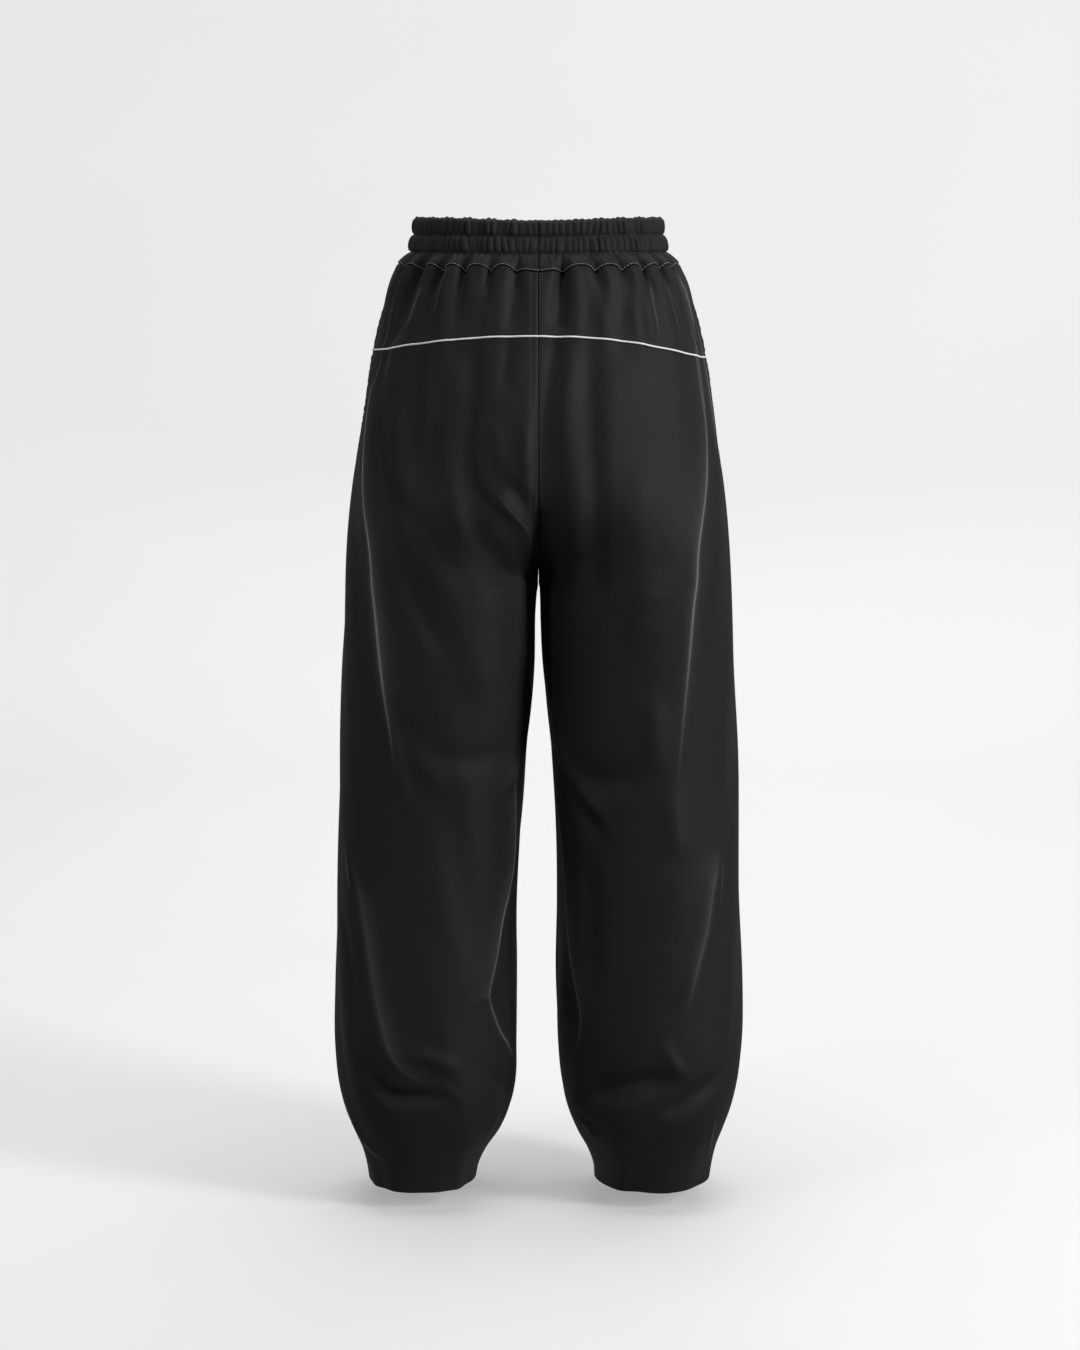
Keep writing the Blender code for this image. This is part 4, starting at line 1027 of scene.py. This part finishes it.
# %% Shape one stitch
STITCH_LONG, STITCH_PITCH, THREAD = 2.7, 3.3, 0.55
bpy.ops.mesh.primitive_uv_sphere_add(segments=6, ring_count=4, radius=0.5)
stitch = bpy.context.object
bpy.ops.object.mode_set(mode="EDIT")
bpy.ops.transform.resize(value=(THREAD, THREAD, STITCH_LONG))
bpy.ops.object.mode_set(mode="OBJECT")
stitch_points = np.array([tuple(v.co) for v in stitch.data.vertices])
stitch_faces = [tuple(face.vertices) for face in stitch.data.polygons]
bpy.data.objects.remove(stitch)
print("a stitch has", len(stitch_faces), "faces")


def evenly(path, out, pitch):
    """Places at even lengths along a path, with the path's direction and the way out there."""
    length = np.concatenate([[0.0], np.cumsum(np.linalg.norm(np.diff(path, axis=0), axis=-1))])
    count = max(int(length[-1] / pitch), 2)
    spots = (np.arange(count) + 0.5) * length[-1] / count
    places = read(spots, length, path)
    onward = np.gradient(places, axis=0)
    return places, onward / np.linalg.norm(onward, axis=-1, keepdims=True), read(spots, length, out)


def sew(name, rows, thickness=1.0):
    """One piece of thread: the stitch copied along each row of (path, way out)."""
    points, faces = [], []
    for path, out in rows:
        for place, onward, normal in zip(*evenly(path, out, STITCH_PITCH)):
            aside = np.cross(onward, normal)
            aside /= np.linalg.norm(aside)
            frame_here = np.stack([np.cross(aside, onward), aside, onward])
            first = len(points) * len(stitch_points)
            faces.extend([tuple(v + first for v in face) for face in stitch_faces])
            points.append(place + stitch_points * (thickness, thickness, 1.0) @ frame_here)
    mesh = bpy.data.meshes.new(name)
    mesh.from_pydata((np.concatenate(points) * MM).tolist(), [], faces)
    thread = bpy.data.objects.new(name, mesh)
    bpy.context.scene.collection.objects.link(thread)
    close_up(thread)
    print(name, len(points), "stitches,", len(mesh.polygons), "faces")
    return thread


# %% Sew the rows
THREAD_LIFT, BAND_THREAD_LIFT, GATHER_THREAD = 0.12, 0.25, 1.3
SEAT_ROWS = {"left": (8.6, 6.6, 1.3), "right": (1.5,)}  # millimetres beside the seam, as for the next two
RISE_ROWS, POCKET_ROWS = (1.5, 6.5), (3.2, 9.0)
SEAT_TOP, RISE_TOP, SEAT_END = 50.0, 58.0, 345.0


def beside_seam(half, column_at, distance, top, end):
    """A line down the cloth at a distance from the seam in a column."""
    rows = np.flatnonzero((half.below[:, column_at] >= top) & (half.below[:, column_at] <= end))
    away = half.across - half.across[:, [column_at]]
    lifted = half.points + half.out * THREAD_LIFT
    return tuple(np.array([read(distance, away[r], kind[r]) for r in rows]) for kind in (lifted, half.out))


THREAD_ROWS = (TIER_STEPS, 2 * TIER_STEPS, 3 * TIER_STEPS - 1)
band_rows = [(outside[k] + band_out * BAND_THREAD_LIFT, band_out) for k in THREAD_ROWS]
threads = {
    "thread_waistband": sew("thread_waistband", band_rows[:2]),
    "thread_gathers": sew("thread_gathers", band_rows[2:], GATHER_THREAD),
    "thread_seat": sew("thread_seat", [beside_seam(halves[side], 0, away, SEAT_TOP, SEAT_END)
                                       for side, rows in SEAT_ROWS.items() for away in rows]),
    "thread_rise": sew("thread_rise", [beside_seam(half, -1, -away, RISE_TOP, SEAT_END)
                                       for half in halves.values() for away in RISE_ROWS]),
}
for side, half in halves.items():
    lines = [beside_seam(half, half.seam_column, away, POCKET_TOP, POCKET_END) for away in POCKET_ROWS]
    threads["thread_pocket_" + side] = sew("thread_pocket_" + side, lines)

# %% [markdown]
# ## Finishes
# The cloth is a fine black knit, brushed on the inside. From afar it is even and matt, with a soft
# sheen on its folds, and close up it shows columns of small loops. Two shader node groups hold what
# the finishes share: the knit, which follows the UV map in metres, and the slight unevenness of
# dyed cloth, which follows the object.

# %% Helpers for shader nodes
def feed(tree, node, inputs):
    """Gives a node its inputs. They are values, or other nodes' outputs, which are then linked."""
    for socket, value in inputs.items():
        if isinstance(value, bpy.types.NodeSocket):
            tree.links.new(value, node.inputs[socket])
        else:
            node.inputs[socket].default_value = value


def add(tree, kind, inputs=None, **settings):
    made = tree.nodes.new(kind)
    for name, value in settings.items():
        setattr(made, name, value)
    feed(tree, made, inputs or {})
    return made


def material(name):
    """A new material, with its node tree and its shader."""
    made = bpy.data.materials.new(name)
    made.use_nodes = True
    return made, made.node_tree, made.node_tree.nodes["Principled BSDF"]


def place_on(tree, kind):
    return add(tree, "ShaderNodeTexCoord").outputs[kind]


def kept_value(tree, name):
    """A value that was kept for each point of the mesh."""
    return add(tree, "ShaderNodeAttribute", attribute_name=name).outputs["Fac"]


def mix(tree, share, first, second):
    """The colour between two others."""
    return add(tree, "ShaderNodeMix", {0: share, 6: first, 7: second}, data_type="RGBA").outputs[2]


def remap(tree, value, start, end, low=0.0, high=1.0, **settings):
    """A value that goes from low to high while the given one goes from start to end."""
    ends = {"From Min": start, "From Max": end, "To Min": low, "To Max": high}
    return add(tree, "ShaderNodeMapRange", {"Value": value, **ends}, **settings).outputs[0]


def bump(tree, depth, height, strength=1.0, **under):
    sockets = {"Strength": strength, "Distance": depth, "Height": height, **under}
    return add(tree, "ShaderNodeBump", sockets).outputs[0]


def maths(tree, operation, *values):
    return add(tree, "ShaderNodeMath", dict(enumerate(values)), operation=operation).outputs[0]


def group(name, inputs, outputs):
    """An empty shader group with named sockets, and its input and output nodes."""
    tree = bpy.data.node_groups.new(name, "ShaderNodeTree")
    for label, kind, value in inputs:
        socket = tree.interface.new_socket(label, in_out="INPUT", socket_type="NodeSocket" + kind)
        if value is not None:
            socket.default_value = value
    for label, kind in outputs:
        tree.interface.new_socket(label, in_out="OUTPUT", socket_type="NodeSocket" + kind)
    return tree, tree.nodes.new("NodeGroupInput").outputs, tree.nodes.new("NodeGroupOutput").inputs


# %% The knit: columns of loops, as seen on the face of a jersey
SLANT, CROWN, STRAND = 0.75, 3.0, 0.45  # of a loop: its arms' slant, flat top, and how far strands stand out
knit, given, result = group(
    "knit",
    [("Place", "Vector", None), ("Column width", "Float", 0.9 * MM), ("Row height", "Float", 0.7 * MM)],
    [("Height", "Float"), ("Thread", "Float")])
place = add(knit, "ShaderNodeSeparateXYZ", {0: given["Place"]}).outputs
across_columns = maths(knit, "DIVIDE", place["X"], given["Column width"])
up_rows = maths(knit, "DIVIDE", place["Y"], given["Row height"])
in_column = maths(knit, "MULTIPLY", maths(knit, "PINGPONG", across_columns, 0.5), 2.0)
arm = maths(knit, "ADD", up_rows, maths(knit, "MULTIPLY", in_column, SLANT))
strand = maths(knit, "ABSOLUTE", maths(knit, "SINE", maths(knit, "MULTIPLY", arm, math.pi)))
crown = maths(knit, "SUBTRACT", 1.0, maths(knit, "POWER", maths(knit, "ABSOLUTE", maths(
    knit, "SUBTRACT", maths(knit, "MULTIPLY", in_column, 2.0), 1.0)), CROWN))
height = maths(knit, "MULTIPLY", crown, maths(
    knit, "ADD", 1 - STRAND, maths(knit, "MULTIPLY", strand, STRAND)))
knit.links.new(height, result["Height"])
knit.links.new(strand, result["Thread"])
print("knit:", len(knit.nodes), "nodes")

# %% Unevenness: soft patches, fine mottling, and a height that rumples a little
uneven, given, result = group(
    "uneven cloth",
    [("Patch size", "Float", 0.12), ("Grain size", "Float", 0.004), ("Rumple size", "Float", 0.012)],
    [("Tone", "Float"), ("Grain", "Float"), ("Rumple", "Float")])
spot = place_on(uneven, "Object")
NOISES = (("Patch size", 3.0, "Tone"), ("Grain size", 2.0, "Grain"), ("Rumple size", 4.0, "Rumple"))
for size, detail, label in NOISES:
    scale = maths(uneven, "DIVIDE", 1.0, given[size])
    noise = add(uneven, "ShaderNodeTexNoise",
                {"Vector": spot, "Scale": scale, "Detail": detail, "Roughness": 0.55})
    uneven.links.new(noise.outputs["Fac"], result[label])
print("uneven cloth:", len(uneven.nodes), "nodes")

# %% [markdown]
# The material of the cloth mixes two blacks by the patches and the grain. The hems, where the light
# comes up from the floor, are a trace bluer. The sheen is the short fibre on the face of the knit,
# which lights up where it is seen at a slant. All its bumps are shallow: the rumple first, then the
# knit on top of it.

# %% The materials
# The fine line on a crest has a width in millimetres, and a depth for each millimetre of the
# crest's rise. A painted highlight colours a crest towards a light grey, all the way where the
# rise reaches its full height; beside a crest the painted highlight takes a share of that grey for
# each millimetre of rise. The hems change their colour between two heights in metres.
CREASE_WIDTH, CREASE_DEPTH = 1.2, 0.18 * MM
HIGHLIGHT_FULL_RISE, CREST_HIGHLIGHT_GREY, PAINTED_GLOW_SHARE = 4.8, (0.23, 0.23, 0.235, 1.0), 0.052
HEM_TINT_FROM, HEM_TINT_TO, HEM_TINT = -0.87, -0.965, (1.05, 1.15, 1.25)
MOTTLE = {"patches": 0.6, "grain": 0.3, "thread": 0.1}
MOTTLE_ENDS, TONE_ENDS, ROUGHER = (0.35, 0.65), (0.3, 0.7), 0.05
MATT = {"Sheen Roughness": 0.42, "Sheen Tint": (0.86, 0.9, 1.0, 1.0), "Specular IOR Level": 0.18}


def cloth_material(name, dark, light, roughness, sheen, knit_depth, rumple_depth, column_width, row_height):
    finish, tree, shader = material(name)
    patches = add(tree, "ShaderNodeGroup", node_tree=uneven).outputs
    loops = add(tree, "ShaderNodeGroup", node_tree=knit)
    feed(tree, loops, {"Place": place_on(tree, "UV"), "Column width": column_width, "Row height": row_height})
    grain, thread = (maths(tree, "MULTIPLY", patches["Grain"], MOTTLE["grain"]),
                     maths(tree, "MULTIPLY", loops.outputs["Thread"], MOTTLE["thread"]))
    mottle = maths(tree, "ADD", maths(tree, "MULTIPLY", patches["Tone"], MOTTLE["patches"]),
                   maths(tree, "ADD", grain, thread))
    blacks = mix(tree, remap(tree, mottle, *MOTTLE_ENDS), (*dark, 1.0), (*light, 1.0))
    height = add(tree, "ShaderNodeSeparateXYZ", {0: place_on(tree, "Object")}).outputs["Z"]
    low = remap(tree, height, HEM_TINT_FROM, HEM_TINT_TO, interpolation_type="SMOOTHSTEP")
    tinted = mix(tree, low, blacks, (*[c * t for c, t in zip(light, HEM_TINT)], 1.0))

    away = maths(tree, "DIVIDE", kept_value(tree, "crease_away"), CREASE_WIDTH)
    fine = maths(tree, "EXPONENT", maths(tree, "MULTIPLY", maths(tree, "POWER", away, 2.0), -1.0))
    crest = maths(tree, "MULTIPLY", kept_value(tree, "crease_rise"), fine)
    beside_crest = maths(tree, "MULTIPLY", kept_value(tree, "worn"), PAINTED_GLOW_SHARE)
    # Painted highlight: the crest line and the cloth beside it are coloured towards a light grey.
    painted_highlight = maths(tree, "ADD", remap(tree, crest, 0.0, HIGHLIGHT_FULL_RISE), beside_crest)
    crease = bump(tree, CREASE_DEPTH, crest)
    rumple = bump(tree, rumple_depth, patches["Rumple"], Normal=crease)
    feed(tree, shader, {
        "Base Color": mix(tree, maths(tree, "MINIMUM", painted_highlight, 1.0), tinted, CREST_HIGHLIGHT_GREY),
        "Roughness": remap(tree, patches["Tone"], *TONE_ENDS, roughness - ROUGHER, roughness + ROUGHER),
        "Normal": bump(tree, knit_depth, loops.outputs["Height"], Normal=rumple),
        "Sheen Weight": sheen, **MATT})
    return finish


black_knit = cloth_material("black knit", (0.0085, 0.0085, 0.0090), (0.0115, 0.0115, 0.0120), 0.58, 0.03,
                            0.05 * MM, 0.35 * MM, 0.9 * MM, 0.7 * MM)
black_band = cloth_material("black band", (0.0085, 0.0085, 0.0090), (0.0120, 0.0120, 0.0125), 0.58, 0.04,
                            0.05 * MM, 0.25 * MM, 0.9 * MM, 0.7 * MM)
pocket_cloth = cloth_material("pocket cloth", (0.011, 0.011, 0.011), (0.014, 0.014, 0.014), 0.7, 0.05,
                              0.04 * MM, 0.2 * MM, 0.6 * MM, 0.5 * MM)
white_cord = cloth_material("white piping", (0.80, 0.80, 0.79), (0.90, 0.90, 0.89), 0.6, 0.05,
                            0.08 * MM, 0.05 * MM, 0.55 * MM, 0.5 * MM)


# %% The thread, smooth and twisted: black in the waistband, light on the gathers, and grey on the seat
TWIST_SCALE, TWIST_DEPTH = 900.0, 0.05 * MM


def thread_material(name, dark, light):
    finish, tree, shader = material(name)
    spot = place_on(tree, "Object")
    ply = add(tree, "ShaderNodeTexWave", {"Vector": spot, "Scale": TWIST_SCALE, "Distortion": 1.0},
              bands_direction="DIAGONAL").outputs["Fac"]
    feed(tree, shader, {"Base Color": mix(tree, ply, (*dark, 1.0), (*light, 1.0)), "Roughness": 0.42,
                        "Normal": bump(tree, TWIST_DEPTH, ply, strength=0.6)})
    return finish


thread_black = thread_material("black thread", (0.020, 0.020, 0.021), (0.034, 0.034, 0.035))
thread_grey = thread_material("grey thread", (0.040, 0.040, 0.042), (0.065, 0.065, 0.067))
thread_light = thread_material("light thread", (0.20, 0.20, 0.205), (0.28, 0.28, 0.285))
THREAD_FINISH = {"thread_waistband": thread_black, "thread_gathers": thread_light, "thread_seat": thread_grey}
FINISHES = (black_knit, black_band, pocket_cloth, white_cord, thread_black, thread_grey, thread_light)
print("materials:", [finish.name for finish in FINISHES])

# %% [markdown]
# Each piece rides on the one body of this part and stands for its solid.

# %% Ride and replace
def finish_piece(piece, finish, slot, *nodes):
    piece.data.materials.clear()
    piece.data.materials.append(finish)
    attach(piece, "root")
    if nodes:
        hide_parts(*nodes)


Cut = namedtuple("Cut", "width length area")
SEWN_TO = {
    "back_yoke": lambda side: [threads["thread_seat"]] if side == "left" else [],
    "back_leg": lambda side: [strips["back"]] if side == "left" else [],
    "front": lambda side: [strips["inseam_" + side], strips["top_" + side], strips["side_" + side],
                           threads["thread_pocket_" + side]]
    + ([strips["front"], threads["thread_rise"]] if side == "left" else []),
}
for name, piece in panels.items():
    kind, side = name.rsplit("_", 1)
    finish_piece(piece, black_knit, "cloth", name)
    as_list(SEWN_TO[kind](side))
for side, pocket in pockets.items():
    finish_piece(pocket, pocket_cloth, "cloth", "pocket_" + side)
finish_piece(waistband, black_band, "cloth", "waistband")
finish_piece(piping, white_cord, "piping", "piping")
for name, thread in threads.items():
    finish_piece(thread, THREAD_FINISH.get(name, thread_black), "cloth")
for piece in strips.values():
    finish_piece(piece, pocket_cloth, "cloth")

# %% [markdown]
# ## Studio
# The photograph was taken in a white studio, with its main soft light on the viewer's right. The
# floor is one big pale sheet that curves up all round the trousers, so no horizon shows from any
# side.

# %% Floor, lights and camera
FLOOR, PAPER_GLOW = -0.995, 0.27
SWEEP_FLAT, SWEEP_BEND, SWEEP_TOP = 2.6, 2.0, 5.0
bend = np.linspace(0.1, math.pi / 2, 16)
away = SWEEP_FLAT + SWEEP_BEND * np.sin(bend)
reach = np.array([0.0, 1.0, SWEEP_FLAT, *away, SWEEP_FLAT + SWEEP_BEND])[:, None]
rise = np.array([0.0, 0.0, 0.0, *(SWEEP_BEND * (1 - np.cos(bend))), SWEEP_TOP])[:, None]
turn = np.linspace(0.0, 2 * math.pi, 97)
around = np.broadcast_arrays(reach * np.cos(turn), reach * np.sin(turn), FLOOR + rise)
sweep_points = np.stack(around, axis=-1) / MM
sweep, _ = grid_mesh("studio_sweep", sweep_points, Half.run(sweep_points, 1), Half.run(sweep_points, 0))
close_up(sweep)
sweep.visible_diffuse = sweep.visible_glossy = sweep.visible_shadow = False  # it is only seen
paper, tree, shader = material("studio paper")
grain = add(tree, "ShaderNodeTexNoise", {"Vector": place_on(tree, "Object"), "Scale": 3.0, "Detail": 2.0})
feed(tree, shader, {
    "Base Color": mix(tree, grain.outputs["Fac"], (0.60, 0.60, 0.60, 1.0), (0.62, 0.62, 0.62, 1.0)),
    "Roughness": 0.9, "Specular IOR Level": 0.1, "Emission Color": (1.0, 1.0, 1.0, 1.0),
    "Emission Strength": PAPER_GLOW})
sweep.data.materials.append(paper)

Lamp = namedtuple("Lamp", "name place aim size power")
LAMPS = [Lamp(*row) for row in (
    ("key", (2.8, -1.7, 0.4), (0.0, 0.0, -0.45), (0.7, 2.0), 90.0),
    ("strip", (-2.4, -2.1, 0.2), (0.0, 0.0, -0.45), (0.3, 2.2), 20.0),
    ("top", (0.0, -0.2, 2.4), (0.0, 0.0, -0.5), (2.4, 1.6), 46.0),
    ("backdrop", (1.0, 2.2, 3.2), (0.8, 4.6, -0.2), (5.0, 1.2), 112.0),
    ("behind", (0.3, 3.2, 0.9), (0.0, 0.0, -0.45), (1.4, 1.4), 12.0),
)]


def look_from(piece, place, aim):
    """Puts a lamp at a place, facing a point."""
    piece.location = place
    away = np.array(place) - np.array(aim)
    tilt = math.atan2(math.hypot(away[0], away[1]), away[2])
    piece.rotation_euler = (tilt, 0.0, math.atan2(away[1], away[0]) + math.pi / 2)


for lamp in LAMPS:
    light = bpy.data.lights.new(lamp.name, "AREA")
    light.shape, light.size, light.size_y = "RECTANGLE", *lamp.size
    light.energy = lamp.power
    holder = bpy.data.objects.new(lamp.name, light)
    bpy.context.scene.collection.objects.link(holder)
    look_from(holder, lamp.place, lamp.aim)
    holder.visible_camera = False

WORLD_LIGHT, WORLD_SEEN = 0.18, 0.78
world = bpy.data.worlds.new("studio")
world.use_nodes = True
tree = world.node_tree
seen = add(tree, "ShaderNodeLightPath").outputs["Is Camera Ray"]
feed(tree, tree.nodes["Background"], {"Color": (1.0, 1.0, 1.0, 1.0),
                                      "Strength": remap(tree, seen, 0.0, 1.0, WORLD_LIGHT, WORLD_SEEN)})
bpy.context.scene.world = world

FOCAL_PIXELS, PHOTO_HEIGHT, LEVEL_OFF, SENSOR = 3218.0, 1350.0, 458.0, 36.0  # LEVEL_OFF: middle to horizon
CAMERA_PLACE = (0.0015, -3.3, 0.025)
camera = bpy.data.objects.new("camera", bpy.data.cameras.new("camera"))
bpy.context.scene.collection.objects.link(camera)
camera.data.sensor_width = SENSOR
camera.data.lens = FOCAL_PIXELS / PHOTO_HEIGHT * SENSOR
camera.location = CAMERA_PLACE
camera.rotation_euler = (math.pi / 2 - math.atan(LEVEL_OFF / FOCAL_PIXELS), 0.0, 0.0)
bpy.context.scene.camera = camera
bpy.context.scene.view_settings.view_transform = "Standard"
print("camera lens:", round(camera.data.lens, 1), "mm")
